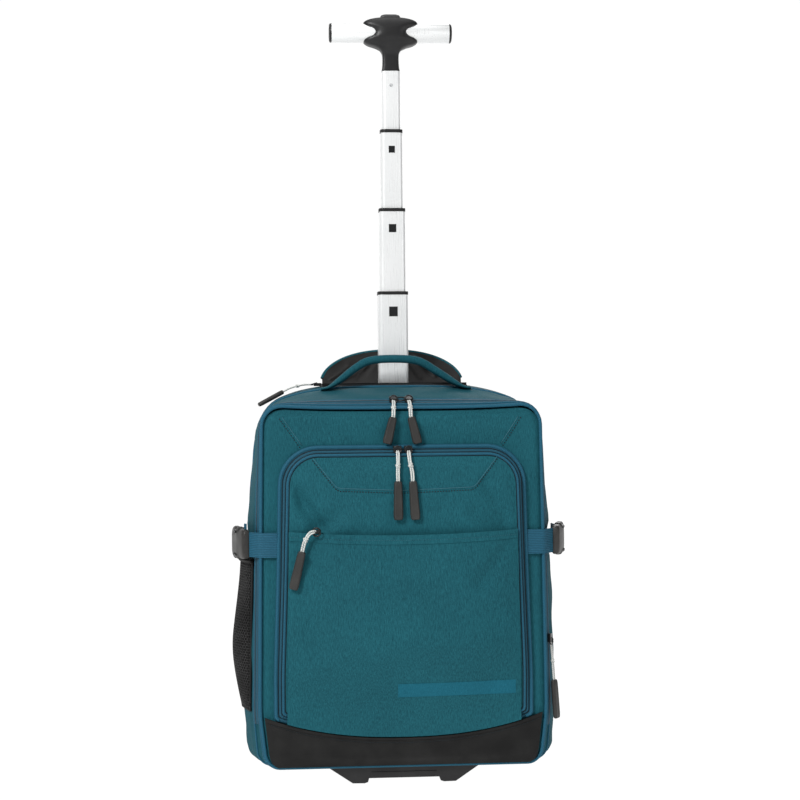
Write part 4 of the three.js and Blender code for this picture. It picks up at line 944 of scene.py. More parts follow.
def guard_grid(lift=0.0, low=0.0, count=30):
    side, v = np.meshgrid(np.linspace(-1, 1, 120), np.linspace(low, 1, count))
    t = v ** 1.7
    x = side * GUARD_HALF * table(GUARD_WIDTHS, t)
    z = lerp(BAG_LOW, guard_line(x), t)
    bulge = 2.3 + 5 * (1 - side ** 6) * smooth(t, 0, .35)
    wrinkle = uneven(xyz(x, 0, z), 18, .5, 4) * smooth(t, .1, .3)
    return xyz(x, -(bulge + lift + wrinkle), z)


guard = Shape().sheet(guard_grid(), 1.6).sheet(guard_grid(.8, .955, 4), .8)
guard.piece("base_guard_cloth", "bag", [guard_cloth], ["base_guard"])

# %% [markdown]
# ## Zips and piping
# Piping is a round cord sewn in the seam. The zips are sewn in with their coils inside, so
# only two ribs of tape show, with dark slits beside them. Thin dark cords laid in the slits
# paint the shade there over the coil, and on the pocket one more paints the shade in the
# crease beside the inner piping. Both follow rings of the bag's own sections, so they stay
# on the seam wherever the bag swells.

# %% Stitches, tape, slits and piping along a ring
def beads(shape, path, out, pitch, long, wide, high, slot):
    """Small rounded stitches at even steps along a path."""
    sides = 5
    count = max(2, int(round(length_of(path) / pitch)))
    spots = even(np.concatenate([path, np.broadcast_to(out, np.shape(path))], 1), count)
    at, up = spots[:, :3], unit(spots[:, 3:])
    along = unit(np.gradient(at, axis=0))
    side = unit(np.cross(along, up))
    c, s = circle(1, sides).T
    for p, a, b, u in zip(at, along, side, up):
        rows = [p - a * long / 2]
        for share, fat in ((-.38, .8), (0, 1), (.38, .8)):
            rows += list(p + a * long * share
                         + fat * (np.outer(c, b) * wide / 2 + np.outer(s, u) * high / 2))
        rows.append(p + a * long / 2)
        faces = [(0, 1 + (k + 1) % sides, 1 + k) for k in range(sides)]
        for r in (0, 1):
            low = 1 + r * sides
            faces += [(low + k, low + (k + 1) % sides, low + sides + (k + 1) % sides, low + sides + k)
                      for k in range(sides)]
        last, low = 3 * sides + 1, 1 + 2 * sides
        faces += [(last, low + k, low + (k + 1) % sides) for k in range(sides)]
        shape.add(rows, faces, slot)


MAIN_FOOT = int(np.argmax(main_ring(10)[:, 2] > 60))
MAIN_TAPE = [(17.5, .2), (16.4, 1.3), (9.8, 1.5), (9.0, .9), (7.8, .9), (7.0, 1.5), (3.6, 1.2),
             (3.4, .3)]


def open_ring(depth, lift=0.0):
    """A ring of the main compartment that is left open at the bag's foot."""
    return main_ring(depth, -lift)[MAIN_FOOT:-MAIN_FOOT]


main_closure = Shape().grid([open_ring(depth, lift) for depth, lift in MAIN_TAPE])
# Thin dark cords in the slits of the tape: painted shade in the gaps, over the coil.
for depth, lift, wide in ((8.4, .6, 1.2), (12.6, 1.3, .8), (5.6, 1.3, .7)):
    ring_out = normals([open_ring(depth + step) for step in (.5, 0, -.5)])[1]
    main_closure.sweep(open_ring(depth, lift), circle(1, 6) * [wide, .5], ring_out, slot=1)
main_closure.piece("main_zip_run", "bag", [zip_cloth, coil_stitches_and_slit_shade], ["main_zip"])

seams = Shape()
for depth, inset, radius, sides in ((1.0, -.9, 1.9, 10), (4.6, -1.2, 1.15, 8), (17.6, -.5, 1.2, 8),
                                    (MAIN_DEEP - .8, -.4, 1.7, 8)):
    seams.tube(main_ring(depth, inset), radius, closed=True, sides=sides, up=(0, 1, 0))
seams.piece("body_piping", "bag", [blue_piping])

# %% The front pocket's zip and piping
BAND_FOOT = int(np.argmax(pocket_ring(2)[:, 2] > 72))


def open_band(inset, lift=0.0):
    """A ring of the pocket's band that is left open above the base guard."""
    return pocket_ring(inset, lift)[BAND_FOOT:-BAND_FOOT]


pocket_closure = Shape()
# Dark cords in the slit beside the tape's rib and in the crease beside the inner piping: painted shade in
# these gaps.
for inset, wide in ((5.15, .7), (8.6, .6), (12.4, .75)):
    band_out = normals([open_band(inset + step) for step in (-.5, 0, .5)])[1]
    pocket_closure.sweep(open_band(inset, -.7), circle(1, 6) * [wide, .5], band_out, slot=1)
pocket_closure.sweep(open_band(7.0, .5), circle(1, 8) * [1.0, .35], band_out)
pocket_closure.piece("front_zip_run", "bag", [zip_cloth, coil_stitches_and_slit_shade], ["front_zip"])

pocket_piping = Shape()
for inset, lift, radius in ((2.5, .2, 2.15), (10.5, .3, 1.35)):
    pocket_piping.tube(open_band(inset, lift), radius, sides=10, up=(0, 1, 0))
pocket_piping.piece("pocket_piping", "bag", [blue_piping])

# %% [markdown]
# ## Carry handle
# The top handle is a strip of cloth folded round a soft core in its middle and left flat
# at both ends, where it is sewn down. A table of places, widths and thicknesses along
# the strap is drawn smooth, and each row becomes a rounded section.

# %% The carry handle and its stitching
def roof_at(depth, x):
    """The height of the bag's roof."""
    rows, share = ((MAIN_SECTIONS, depth / MAIN_DEEP) if depth < MAIN_DEEP
                   else (REAR_SECTIONS, (depth - MAIN_DEEP) / REAR_DEEP))
    bulge, tuck, crown = section_at(rows, share)
    half = lerp(PANEL_HALF, HALF * BODY_WIDTHS[-1][1], bulge)
    return ridge(depth) - tuck - CROWN * crown * np.abs(x / half) ** CROWN_POWER


CARRY_DEPTH, CARRY_HALF, CARRY_RISE = 88, 86, 34
CARRY = [(-1, 0, 24, 3.4), (-.9, .05, 24, 4), (-.75, .29, 20, 7.5), (-.52, .73, 15, 9),
         (-.33, .95, 13, 9.2), (0, 1, 13, 9.2), (.3, .92, 13, 9.2), (.53, .6, 15, 9),
         (.75, .25, 20, 7.5), (.9, .05, 24, 4), (1, 0, 24, 3.4)]


def rounded_rows(rows, across):
    """Rounded sections from rows of (x, y, z, width, thickness)."""
    line, sizes = rows[:, :3], rows[:, 3:]
    up = unit(np.cross(unit(np.gradient(line, axis=0)), across))
    c, s = boxed(turns(28), 2 / 2.6, 2 / 2.6)
    return (line[:, None] + c[None, :, None] * sizes[:, None, :1] / 2 * np.array(across)
            + s[None, :, None] * sizes[:, None, 1:] / 2 * up[:, None])


carry_foot = float(roof_at(CARRY_DEPTH, CARRY_HALF)) + 2
carry_rows = spline([(share * CARRY_HALF, CARRY_DEPTH - 4 * rise, carry_foot + rise * CARRY_RISE,
                      wide, thick) for share, rise, wide, thick in CARRY], 70)
carry = Shape().grid(rounded_rows(carry_rows, (0, 1, 0)), around=True, caps=True)
edge_line = carry_rows[:, :3] + xyz(0, -carry_rows[:, 3] * .36, carry_rows[:, 4] * .42)
beads(carry, edge_line[6:-6], (0, -.6, .8), 3.2, 2.3, .55, .5, 1)
for hand in (-1, 1):
    for inset in (2, 9):
        x = hand * (CARRY_HALF - inset)
        line = np.array([(x, y, roof_at(CARRY_DEPTH, x) + 4.3) for y in np.linspace(78, 98, 9)])
        beads(carry, line, (0, 0, 1), 3, 2.2, .6, .5, 1)
carry.piece("carry_strap", "bag", [teal_side, seam_thread], ["carry_handle"])

# %% [markdown]
# ## Top flap and its lining
# When the pole is out, the zipped flap over the well folds up behind it. Its face is
# teal, its inside is thin black lining that creases towards the hinge.

# %% The raised flap
FLAP_HALF, FLAP_HIGH, HINGE = 84, 40, 151.5
LINING_FOLDS = [(-60, 6, -30, 22, 3.2, 1.7), (-40, 3, -18, 30, 2.6, -1.4), (28, 34, 52, 12, 2.8, 1.8),
                (40, 30, 66, 8, 2.2, -1.4), (20, 30, 34, 8, 2.6, 1.3), (-72, 12, -52, 26, 2.4, 1.2)]


def flap_grid(off, wrinkles=0.0):
    side, v = np.meshgrid(np.linspace(-.985, .985, 110), np.linspace(0, 1, 40))
    arch = FLAP_HIGH * np.sqrt(1 - np.abs(side) ** 2.2)
    x = side * FLAP_HALF
    z = float(roof_at(HINGE + 2, 0)) + 1.9 + v * arch
    y = HINGE + off + 21 * v * arch / FLAP_HIGH + 5 * (1 - side ** 2) * np.sin(v * pi * .6)
    crease = folds(x, v * FLAP_HIGH, LINING_FOLDS) + uneven(xyz(x, 0, z), 9, .5, 5)
    crease = np.maximum(crease, -.7) * np.abs(np.sin(v * pi)) ** .4
    return xyz(x, y - wrinkles * crease, z)


Shape().sheet(flap_grid(3.9)[:, ::-1], 2.0).piece("raised_flap", "bag", [teal_dark], ["top_flap"])
Shape().sheet(flap_grid(.2, 1.0), .8).piece("raised_flap_lining", "bag", [lining_cloth], ["flap_lining"])
rim = Shape()
arch_line = even(flap_grid(2.2)[-1], 90)
rim.tube(arch_line, 2.1, sides=10, up=(0, 1, 0))
corners = [(-WELL_HALF, WELL_BACK), (-WELL_HALF, WELL_FRONT), (WELL_HALF, WELL_FRONT),
           (WELL_HALF, WELL_BACK)]
way = np.concatenate([np.linspace(a, b, 24, endpoint=False)
                      for a, b in zip(corners, corners[1:] + corners[:1])])
rim.tube([(x, y, roof_at(y, x) + .4) for x, y in way], 1.7, closed=True, slot=1)
rim.piece("well_binding", "bag", [teal_side, dark_thread])

# %% [markdown]
# ## Side straps and buckles
# Ribbed webbing is sewn to the front panel's edge, passes round the corner and is held
# by a side-release buckle. A fastened buckle can only open by bending its two prongs,
# so it stays shut here and both halves are one piece.

# %% The webbing
WEB_FOOT, WEB_HEAD, WEB_THICK = 251, 278, 1.5
STRAP_WAY = [(-17, -3.2), (-7, -3.0), (2.2, -1.2), (8.4, 5.5), (13.6, 11.5)]
for side, hand in SIDES:
    line = spline([(154.9 + out, back, 0) for out, back in STRAP_WAY], 40)
    rows = np.array([line * [hand, 1, 0] + [0, 0, z] for z in np.linspace(WEB_FOOT, WEB_HEAD, 12)])
    webbing = Shape().sheet(rows[:, ::hand], WEB_THICK)
    webbing.piece(f"{side}_webbing", "bag", [blue_webbing], [f"side_strap_{side}"])

# %% The buckles
BUCKLE_MIDDLE, BUCKLE_TURN = np.array([178.5, 35, 264.5]), radians(74)
BUCKLE = [(-25, 25, 7), (-24, 30, 9), (-20, 32.5, 10), (-13, 33.5, 10.6), (-6, 33, 10.8),
          (-5, 36, 11), (1, 36.8, 11), (4, 31.5, 10.6), (7, 30.5, 10.4), (10, 35.5, 10.8), (17, 36.5, 10.6),
          (23, 34, 9.4), (25, 30, 7)]


def buckle(side, hand):
    shape = Shape()
    ahead = np.array([cos(BUCKLE_TURN), sin(BUCKLE_TURN), 0])
    out = np.array([ahead[1], -ahead[0], 0])

    def spot(along, up, face):
        """A place on the buckle, from its middle along it, up it and out of its face."""
        return (BUCKLE_MIDDLE + ahead * along + out * face + [0, 0, up]) * [hand, 1, 1]

    rows = []
    c, s = boxed(turns(36), .45, .62)
    for x, high, thick in BUCKLE:
        bow = .9 * (x / 25) ** 2
        rows.append([spot(x, a * high / 2, b * thick / 2 - bow) for a, b in zip(c, s)])
    shape.grid(np.array(rows)[::hand], around=True, caps=True)
    for up in (-1, 1):
        prong = [spot(x, up * h, 5.0) for x, h in ((0, 12.5), (5, 14), (10, 12.8))]
        shape.tube(spline(prong, 10), 1.5, slot=1)
        shape.tube([spot(24.2, up * h, 1.6) for h in (2, 5, 8, 11)], .9, sides=6, slot=1)
    for x in (-19, 20):
        shape.tube([spot(x, h, 5.0) for h in np.linspace(-12.5, 12.5, 9)], .8, sides=6, slot=1)
    tail = np.array([[spot(x, h, -5.2 - .3 * max(0, x - 25)) for x in np.linspace(18, 52, 14)]
                     for h in (-13.5, 0, 13.5)])
    shape.sheet(tail[:, ::hand], WEB_THICK, slot=2)
    made = shape.piece(f"{side}_side_buckle", "bag", [charcoal_plastic, slider_black, blue_webbing],
                       [f"buckle_{side}"], crease=50)


for side, hand in SIDES:
    buckle(side, hand)
end_rows = np.array([[(-(172.5 + .4 * step), 17 + step, z) for step in (0, 1.5, 3, 4.6)]
                     for z in np.linspace(274, 287, 6)])
Shape().sheet(end_rows[:, ::-1], WEB_THICK).piece("webbing_end", "bag", [blue_webbing])

# %% [markdown]
# ## Wire rings on the sliders
# Every cord is looped through a small wire ring that hangs in its slider. Each ring is a
# closed tube that lies flat on the cloth, set where the cord begins.

# %% The rings
RINGS = {"upper_left": 4.2, "upper_right": 4.2, "lower_left": 4, "lower_right": 4, "slip": 4.4,
         "side": 3.8, "flap": 3.6}
rings = Shape()
for name, radius in RINGS.items():
    route, _, face = PULLS[name]
    start = np.array(route[0], float)
    ahead = unit(np.array(route[1], float) - start)
    outward = unit(face)
    sideways = unit(np.cross(outward, ahead))
    ahead = np.cross(sideways, outward)
    middle = start - ahead * radius * .35 + outward * .6
    rings.tube([middle + radius * (cos(a) * sideways + sin(a) * ahead)
                for a in turns(28)], .85, closed=True)
rings.piece("slider_rings", "bag", [slider_black])

# %% [markdown]
# ## Mesh pocket
# The side pocket is a stretch net: a honeycomb of thin thread with an elastic hem at its mouth.
# Under the net lies a black sheet that paints the shade inside the pocket. Hexagons are laid
# on the pocket's surface and thickened.

# %% The net, the black sheet of painted shade under it, and its hem
MESH_Y, MESH_Z, NET_BULGE, MOUTH_BULGE = (24, 94), (80, 245), 13.5, 6


def pocket_net(off):
    """Rows of the bulging net from front to back, some way off the dark sheet of painted shade."""
    v = np.linspace(0, 1, 60)
    z = lerp(*MESH_Z, v)
    flatter = lerp(1, MOUTH_BULGE / NET_BULGE, smooth(v, .3, 1))
    full = np.sin(np.minimum(v * 1.9, 1) * pi / 2) * flatter
    columns = []
    for share in np.linspace(0, 1, 36):
        y = lerp(*MESH_Y, share)
        bulge = NET_BULGE * full * sin(share * pi) ** .7 if 0 < share < 1 else 0
        columns.append(xyz(-(reach_at(y, z) + .7 + bulge + off), y, z))
    return np.stack(columns, 1)


net_rows = pocket_net(1.0)
# The black sheet just under the net paints the shade inside the pocket.
shade_sheet = Shape().sheet(pocket_net(.2)[:, ::-1], .6)
shade_sheet.piece("mesh_pocket_shade_sheet", "bag", [pocket_shade_sheet], ["mesh_pocket"])


def on_net(y, z):
    """The net's surface at a depth and a height."""
    last_row, last_column = net_rows.shape[0] - 1, net_rows.shape[1] - 1
    u = np.clip((y - MESH_Y[0]) / (MESH_Y[1] - MESH_Y[0]), 0, 1) * last_column
    v = np.clip((z - MESH_Z[0]) / (MESH_Z[1] - MESH_Z[0]), 0, 1) * last_row
    i, j = int(min(u, last_column - 1)), int(min(v, last_row - 1))
    a, b = u - i, v - j
    return ((net_rows[j, i] * (1 - a) + net_rows[j, i + 1] * a) * (1 - b)
            + (net_rows[j + 1, i] * (1 - a) + net_rows[j + 1, i + 1] * a) * b)


CELL, ROW_STEP, CORNER = 3.4, .866, .577  # a hexagon's width; the others are shares of it
found, vertices, cells = {}, [], []
for row in range(int((MESH_Z[1] - MESH_Z[0]) / (CELL * ROW_STEP))):
    for column in range(int((MESH_Y[1] - MESH_Y[0]) / CELL)):
        y = MESH_Y[0] + (column + .5 + .5 * (row % 2)) * CELL
        z = MESH_Z[0] + (row + .6) * CELL * ROW_STEP
        corner = []
        for k in range(6):
            a = pi / 6 + k * pi / 3
            key = (round((y + CELL * CORNER * cos(a)) * 4), round((z + CELL * CORNER * sin(a)) * 4))
            if key not in found:
                found[key] = len(vertices)
                vertices.append(on_net(key[0] / 4, key[1] / 4))
            corner.append(found[key])
        cells.append(corner[::-1])
honeycomb = Shape().add(vertices, cells).piece("mesh_pocket_net", "bag", [net_thread])
threads = honeycomb.modifiers.new("threads", "WIREFRAME")
threads.thickness, threads.use_even_offset = .001, False
hem = Shape().tube(pocket_net(1.6)[-1], 2.2, sides=10)
for edge_line in (net_rows[:, 0], net_rows[:, -1], pocket_net(.6)[0]):
    hem.tube(edge_line, 1.3)
hem.piece("mesh_pocket_hem", "bag", [guard_cloth])

# %% [markdown]
# ## The telescopic pole
# Each tube is drawn aluminium with rounded corners and stays open at both ends. The dark
# locks and the collars that guide the next tube are the CAD's own pieces.

# %% Tubes and a rivet
TUBE_WALL, TUBE_CORNER, RIVET_HEIGHT = 1.2, 4.6, 791
TUBES = {"4": (34.5, 27, 545.5, "pole_stage_1"), "3": (29.8, 22.4, 643, "pole_stage_2"),
         "2": (25.3, 18, 735.5, "pole_stage_3"), "1": (21.5, 14.4, 808, "pole_stage_4")}


def rounded_bar(width, depth, corner):
    turn = np.linspace(0, pi / 2, 8)
    x, y = width / 2 - corner, depth / 2 - corner
    points = []
    for start, (sx, sy) in zip((0, pi / 2, pi, 1.5 * pi), ((1, 1), (-1, 1), (-1, -1), (1, -1))):
        points += [(sx * x + corner * cos(start + a), sy * y + corner * sin(start + a)) for a in turn]
    return np.array(points)


def at_height(profile, z):
    """A level ring round the pole's axis."""
    return xyz(profile[:, 0], POLE_DEPTH + profile[:, 1], z)


for name, (width, depth, top, stage) in TUBES.items():
    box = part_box(f"pole_tube_{name}")
    low, high = box[0][2] * 1000, top - .3
    outer = rounded_bar(width, depth, TUBE_CORNER)
    inner = rounded_bar(width - 2 * TUBE_WALL, depth - 2 * TUBE_WALL, TUBE_CORNER - 1)
    tube = Shape()
    for first, second in (((outer, low), (outer, high)), ((inner, high), (inner, low)),
                          ((outer, high), (inner, high)), ((inner, low), (outer, low))):
        tube.grid([at_height(*first), at_height(*second)], around=True)
    tube.piece(f"drawn_tube_{name}", stage, [tube_metal], [f"pole_tube_{name}"], crease=60)
rows = [[(r * cos(a), POLE_DEPTH - 7.2 - y, RIVET_HEIGHT + r * sin(a)) for a in turns(20)]
        for r, y in ((2.1, -.1), (2.0, .2), (1.5, .35), (.9, .25), (.5, .1))]
Shape().grid(rows, around=True, caps=True).piece("pole_rivet", "pole_stage_4", [rivet_metal])

# %% [markdown]
# ## The T-handle
# A black moulded hub clamps a grip tube, with concave ends so that the fingers close
# round the tube. The release button sits on its top. The hub is a stack of rounded
# sections whose half width and half depth come from a table of heights.

# %% Hub, button, grip tube and end caps
GRIP_AXIS, GRIP_RADIUS = 853, 11.25
HUB_ROWS = [(808.3, 10.7, 7.2), (812, 9.9, 7.2), (818, 9.5, 7.2), (824, 9.5, 7.3), (829, 10.2, 8),
            (833, 13, 10), (836, 19, 11.8), (838.5, 27, 12.6), (841, 31, 13.4), (843.5, 31.9, 14),
            (846, 29.5, 14.8), (849, 23.2, 15.3), (853, 20.4, 15.5), (857, 23.2, 15.3),
            (860, 29.5, 14.6), (862.5, 31.8, 13.8), (865, 31.6, 12.8), (867.5, 28, 11.4),
            (869.3, 22, 9.8), (870.5, 14, 8)]
BUTTON_ROWS = [(866.7, 24.4, 13.8), (871.4, 24.2, 13.6), (873.4, 21.6, 12.2), (874.3, 17, 9.6),
               (874.5, 10, 6)]
BAR_ROWS = both_sides([(-69.1, 9.8), (-69.1, 11.0), (-68.8, GRIP_RADIUS)])
CAP_ROWS = [(69.4, GRIP_RADIUS), (70.4, 11.2), (71.4, 10.6), (72.0, 9.2), (72.2, 6.5), (72.25, 3)]


def turned(profile, y, z, sides):
    """Rings round an axle from side to side, from rows of (x, radius)."""
    return np.array([[(x, y + r * cos(a), z + r * sin(a)) for a in turns(sides)] for x, r in profile])


rows = []
for z, wide, deep in spline(HUB_ROWS, 70):
    power = lerp(.35, .62, smooth(z, 826, 838))
    c, s = boxed(turns(64), power, power)
    rows.append(xyz(c * wide, POLE_DEPTH + s * deep, z))
hub = Shape().grid(rows, around=True, caps=True)
for hand in (-1, 1):
    hub.tube([(hand * 5.6, POLE_DEPTH - 7.3, z) for z in np.linspace(810, 828, 8)], .55)
hub.piece("moulded_hub", "pole_stage_4", [black_plastic], ["handle_hub"], crease=60)

rows = [at_height(rounded_bar(wide, deep, deep * .35), z) for z, wide, deep in BUTTON_ROWS]
Shape().grid(rows, around=True, caps=True).piece(
    "release_button", "button", [grey_plastic], ["handle_button"], crease=50)

Shape().grid(turned(BAR_ROWS, POLE_DEPTH, GRIP_AXIS, 48), around=True, caps=True).piece(
    "grip_bar", "pole_stage_4", [tube_metal], ["grip_tube"], crease=50)
for side, hand in SIDES:
    rows = turned([(hand * x, radius) for x, radius in CAP_ROWS], POLE_DEPTH, GRIP_AXIS, 48)
    Shape().grid(rows[::hand], around=True, caps=True).piece(
        f"end_cap_{side}", "pole_stage_4", [black_plastic], [f"grip_cap_{side}"], crease=60)

# %% [markdown]
# ## Hard parts that stay as the CAD made them
# Locks, collars, the well and the wheel bracket already have their true shapes, so they
# only get their finishes. An object's slots are changed, never its mesh.

# %% Finishes on the CAD's own nodes
def dress(finish, *names):
    for name in names:
        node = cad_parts[name]
        for slot in node.material_slots:
            slot.link = "OBJECT"
            slot.material = finish.material


dress(slider_black, *[f"pole_lock_{k}" for k in "432"])
dress(black_plastic, "wheel_bracket", "pole_housing", *[f"pole_collar_{k}" for k in "432"])
dress(lining_cloth, "handle_well")
dress(slider_black, "upper_sliders", "lower_slider_left", "lower_slider_right", "slip_slider",
      "side_slider", "flap_slider")
print("finishes set on the hard parts")

# %% [markdown]
# ## Seams, stitches and the printed band
# The panel and the pocket are pieced from several cuts, so dark seams run over them, each
# with a row of stitches beside it. A seam is a thin cord laid on the cloth, and beads make
# the stitches. Both find the cloth's height from its own grid.

# %% Seams laid on the cloth
def on_cloth(x, z, grid):
    """The cloth's own y at a place, from the nearest points of its grid."""
    flat = grid.reshape(-1, 3)
    out = []
    for a, b in zip(x, z):
        gap = (flat[:, 0] - a) ** 2 + (flat[:, 2] - b) ** 2
        near = np.argpartition(gap, 4)[:4]
        weight = 1 / (gap[near] + .05)
        out.append((flat[near, 1] * weight).sum() / weight.sum())
    return np.array(out)


def laid(points, grid, lift):
    """A line of (x, z) laid on a cloth, with a point every 4 mm."""
    line = np.array([(x, 0, z) for x, z in points], float)
    line = even(line, max(3, int(length_of(line) / 4)))
    x, z = line[:, 0], line[:, 2]
    return xyz(x, on_cloth(x, z, grid) - lift, z)


def seam(shape, points, grid, offset):
    """A seam's dark line with a row of stitches beside it."""
    shape.tube(laid(points, grid, .1), .6, sides=6, slot=1)
    beside = [(x + offset[0], z + offset[1]) for x, z in points]
    beads(shape, laid(beside, grid, .15), (0, -1, 0), 3.0, 1.8, 1.3, 1.0, 0)


POCKET_SEAM = [(-98.5, 359.5), (-74.5, 329), (-71, 326.6), (-2, 323.6), (76, 326.4), (80, 329),
               (103, 359)]
stitching = Shape()
seam(stitching, [(-131.5, 404), (-110, 373)], panel_cloth, (-2.6, -1.8))
seam(stitching, [(129, 403), (109.5, 373)], panel_cloth, (2.6, -1.8))
seam(stitching, POCKET_SEAM, pocket_cloth, (0, -3))
slip_hem = [(x, float(slip_height(x)) - 5.5) for x in np.linspace(-123, 123, 30)]
beads(stitching, laid(slip_hem, slip_grid(.7), .15), (0, -1, 0), 2.6, 1.7, .6, .5, 1)
guard_hem = [(x, float(guard_line(x)) - 5) for x in np.linspace(-148, 148, 40)]
beads(stitching, laid(guard_hem, guard_grid(.8), .2), (0, -1, 0), 2.6, 1.7, .6, .5, 0)
stitching.piece("front_stitching", "bag", [coil_stitches_and_slit_shade, seam_thread])

band_x, band_z = np.meshgrid(np.linspace(-8, 122, 60), np.linspace(-7.5, 7.5, 6))
band_z = 105.5 + band_z + band_x * .012
band_y = on_cloth(band_x.ravel(), band_z.ravel(), slip_grid()).reshape(band_x.shape)
print_cloth = heather("printed teal band", "0c4f60", "1b6c80")
Shape().sheet(xyz(band_x, band_y - .35, band_z), .2).piece("printed_band", "bag", [print_cloth])

# %% [markdown]
# ## Front stand, wheels and bracket
# The bag stands on a moulded foot in front and two wheels behind. The foot is a ribbed
# plastic frame with sloping legs and a crossbar; a bevel softens its moulded edges.

# %% The stand
STAND_TOP, STAND_FRONT, STAND_BACK = 20.2, 6, 28
foot_line = both_sides([(-87, STAND_TOP), (-61.5, 3.2), (-57, .2), (-44, 0), (-40.2, 1.2), (-39, 5.5)])
top_line = both_sides([(44.5, STAND_TOP), (42, 18.7)])
ring = np.array(foot_line + top_line)[::-1]
stand = Shape().grid([[(x, y, z) for x, z in ring] for y in (STAND_FRONT, STAND_BACK)],
                     around=True, caps=True)
for hand in (-1, 1):
    for x, high in ((64, 12.5), (52, 15.5)):
        stand.tube([(hand * x, 5.9, 2.5 + rise) for rise in np.linspace(0, high, 5)], .7, sides=6)
stand.tube([(x, 5.9, 12) for x in np.linspace(-36, 36, 9)], .8, sides=6)
stand_piece = stand.piece("moulded_stand", "bag", [black_plastic], ["front_stand"], crease=40)
bevelled(stand_piece, "moulded edges", .0012, 3, 40)

# %% [markdown]
# Each wheel is a hub with spokes, a smooth tread and rounded shoulders. Two profiles are
# turned round the axle, and the spokes are thin ribs between the hub and the rim.

# %% The wheels
WHEEL_R, WHEEL_Y, WHEEL_X = 33, 150, 112
TREAD = both_sides([(-11.4, 26.4), (-11.5, 29), (-10.9, 31.4), (-9, 32.7), (-6.5, 33), (-2.4, 33),
                    (-2, 32.3)]) + [(5.4, 26), (-5.4, 26)]
RIM = both_sides([(-10.4, 3.4), (-10.4, 8.6), (-9.4, 9.6), (-5.2, 10.6), (-5.2, 22.6), (-10.9, 24),
                  (-11.2, 25.8)])

for side, hand in SIDES:
    wheel = Shape()
    for slot, profile in enumerate((TREAD, RIM)):
        closed = [(hand * WHEEL_X + x, radius) for x, radius in [*profile, profile[0]]]
        wheel.grid(turned(closed, WHEEL_Y, WHEEL_R, 72), around=True, slot=slot)
    for k in range(6):
        a = k * pi / 3
        arm = np.array([cos(a), sin(a)])
        across = np.array([-sin(a), cos(a)])
        rows = []
        for r, w in ((8.6, 2.6), (16, 1.9), (23.6, 2.6)):
            spots = [arm * r + across * w * s for s in (-1, 1, 1, -1)]
            rows.append([(hand * WHEEL_X + x, WHEEL_Y + p[0], WHEEL_R + p[1])
                         for p, x in zip(spots, (-9.6, -9.6, 9.6, 9.6))])
        wheel.grid(rows, around=True, slot=1, caps=True)
    wheel.piece(f"rolling_wheel_{side}", f"{side}_wheel", [tread_rubber, grey_plastic],
                [f"wheel_{side}"], crease=45)

# %% [markdown]
# ## Back panel
# The back is spacer mesh over foam, quilted into two side pads and a lumbar pad with
# channels between them that let air pass. The channels are pressed into the foam by a
# height formula; a cloth simulation would give the same round pads more slowly.

# %% The quilted back
PAD_HALF, PAD_LOW, PAD_HIGH, PAD_START, BORDER = 138, 84, 424, 160.3, 9


def pad_height(x, z):
    """1 on the pads and 0 in the channels between them."""
    lumbar = smooth(z, PAD_LOW + 84, PAD_LOW + 100)
    spine = lerp(1.2, 1, lumbar) * smooth(np.abs(x), 8, 22)
    low_channel = smooth(np.abs(z - (PAD_LOW + 92)), 3, 14)
    high_channel = smooth(np.abs(z - (PAD_HIGH - 92)), 3, 13)
    across = np.clip(np.maximum(spine, 1 - lumbar), 0, 1)
    return np.minimum(np.minimum(across, low_channel), high_channel)


def pad_ring(inset, out):
    return xyz(pad_s * (PAD_HALF - inset), PAD_START + out, lerp(PAD_LOW + inset, PAD_HIGH - inset, pad_t))


pad_x, pad_z = filled(PAD_HALF - BORDER, PAD_LOW + BORDER, PAD_HIGH - BORDER, 24, 34, [(0, 1), (1, 1)],
                      lambda x: PAD_LOW + BORDER + 0 * x, lambda x: PAD_HIGH - BORDER + 0 * x, (90, 150))
to_border = np.minimum(pad_z - PAD_LOW - BORDER, PAD_HIGH - BORDER - pad_z)
to_border = np.minimum(PAD_HALF - BORDER - np.abs(pad_x), to_border)
swell = 4.2 + 7.5 * pad_height(pad_x, pad_z) * (1 - np.exp(-to_border / 7))
swell += uneven(xyz(pad_x, 0, pad_z), 20, .35, 8)
pad = Shape().sheet(xyz(pad_x, PAD_START + swell, pad_z)[:, ::-1], 2.0)
pad_piece = pad.piece("quilted_back", "bag", [back_mesh], ["back_panel"])
pad_s, pad_t = outline(PAD_HALF, PAD_HIGH - PAD_LOW, 26, 38).T
BORDER_ROWS = [(10.5, 3.0), (8.6, 4.4), (5, 5.2), (1.6, 4.6), (0, 2.6), (0, .3)]
border = Shape().grid([pad_ring(inset, out) for inset, out in BORDER_ROWS], around=True)
beads(border, pad_ring(7.6, 4.9), (0, 1, 0), 3.2, 2.3, .6, .5, 1)
border.piece("back_binding", "bag", [guard_cloth, dark_thread])

# %% [markdown]
# ## Shoulder straps
# Each strap is foam in spacer mesh, bound round its edge, and narrows to webbing that
# runs through a ladder buckle to the foot of the bag.

# %% Straps, bindings, webbing and ladder buckles
STRAP_FACE, STRAP_TOP, STRAP_FOOT, STRAP_MIDDLE = 171.6, 410, 205, 171.6 + 6
STRAP_END, WEB_END, WEB_TOP, WEB_LOW = 62 + 26 * sin(pi * .75), 118, STRAP_FOOT + 6, 98


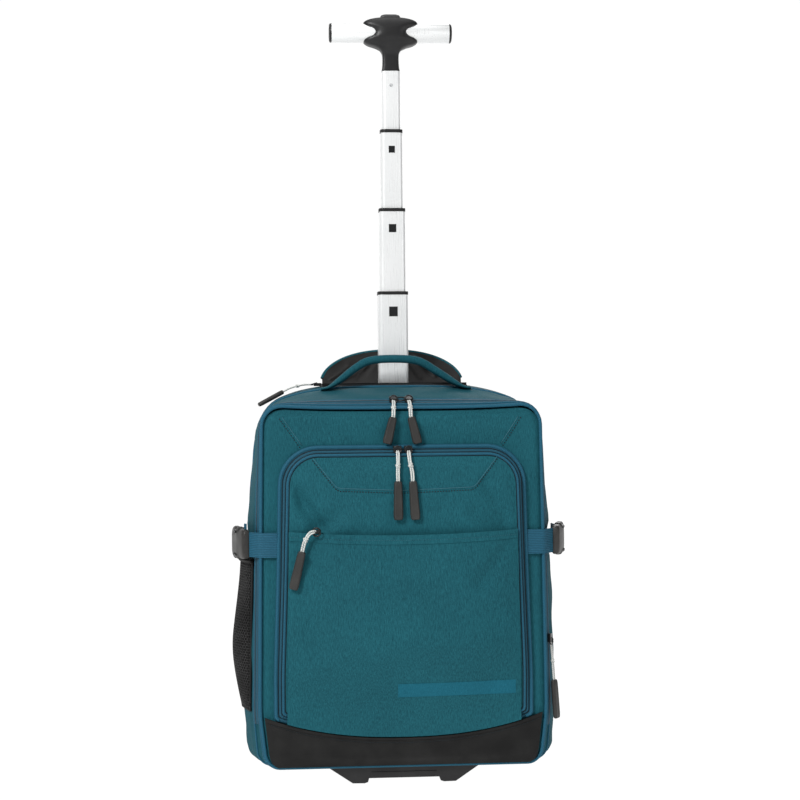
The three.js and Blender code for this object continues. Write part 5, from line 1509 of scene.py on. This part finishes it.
def ladder(hand, z, beside):
    """A place on the ladder buckle's frame, beside the webbing's middle at a height."""
    share = (WEB_TOP - z) / (WEB_TOP - WEB_LOW)
    return lerp(hand * STRAP_END, hand * WEB_END, share) + beside, STRAP_FACE + 4.2, z


v = np.linspace(0, 1, 60)
wide, height = 62 * lerp(1, .55, smooth(v, .3, 1)), lerp(STRAP_TOP, STRAP_FOOT, v)
full = 5.9 * np.sqrt(np.clip(np.minimum(v, 1 - v) / .03, .12, 1))
full += .5 * np.sin(v * 41) * np.exp(-((v - .25) / .2) ** 2)
c, s = boxed(turns(36), .5, .8)
for side, hand in SIDES:
    middle = hand * (62 + 26 * np.sin(v * pi * .75))
    rows = xyz(middle[:, None] + c * wide[:, None] / 2, STRAP_MIDDLE + s * full[:, None],
               height[:, None])
    strap = Shape().grid(rows[::-1], around=True, caps=True)
    strap_piece = strap.piece(f"shoulder_pad_{side}", "bag", [back_mesh], [f"shoulder_strap_{side}"])
    bound = Shape()
    bound.tube(np.concatenate([xyz(middle + wide / 2, STRAP_MIDDLE, height),
                               xyz(middle - wide / 2, STRAP_MIDDLE, height)[::-1]]), 2.0, closed=True)
    inner = slice(4, -4)
    for edge in (-1, 1):
        line = xyz(middle[inner] + edge * (wide[inner] / 2 - 5.5), STRAP_FACE + 11.3, height[inner])
        beads(bound, line, (0, 1, 0), 3.4, 2.4, .7, .6, 1)
    k = np.linspace(0, 1, 24)
    path = xyz(lerp(hand * STRAP_END, hand * WEB_END, k),
               lerp(STRAP_FACE + 4.5, STRAP_FACE - .2, smooth(k, 0, .35)), lerp(WEB_TOP, WEB_LOW, k))
    web = np.array([path + [beside, 0, 0] for beside in (12.4, 0, -12.4)])
    bound.sheet(web[:, ::-1], WEB_THICK, slot=2)
    for z in (STRAP_FOOT - 4, STRAP_FOOT - 12, STRAP_FOOT - 24):
        bound.tube([ladder(hand, z, beside) for beside in (-15, 15)], 1.9, slot=3)
    for beside in (-15, 15):
        bound.tube([ladder(hand, z, beside) for z in (STRAP_FOOT - 2, STRAP_FOOT - 26)], 2.2, slot=3)
    bound.piece(f"strap_binding_{side}", "bag", [guard_cloth, dark_thread, blue_webbing, charcoal_plastic])
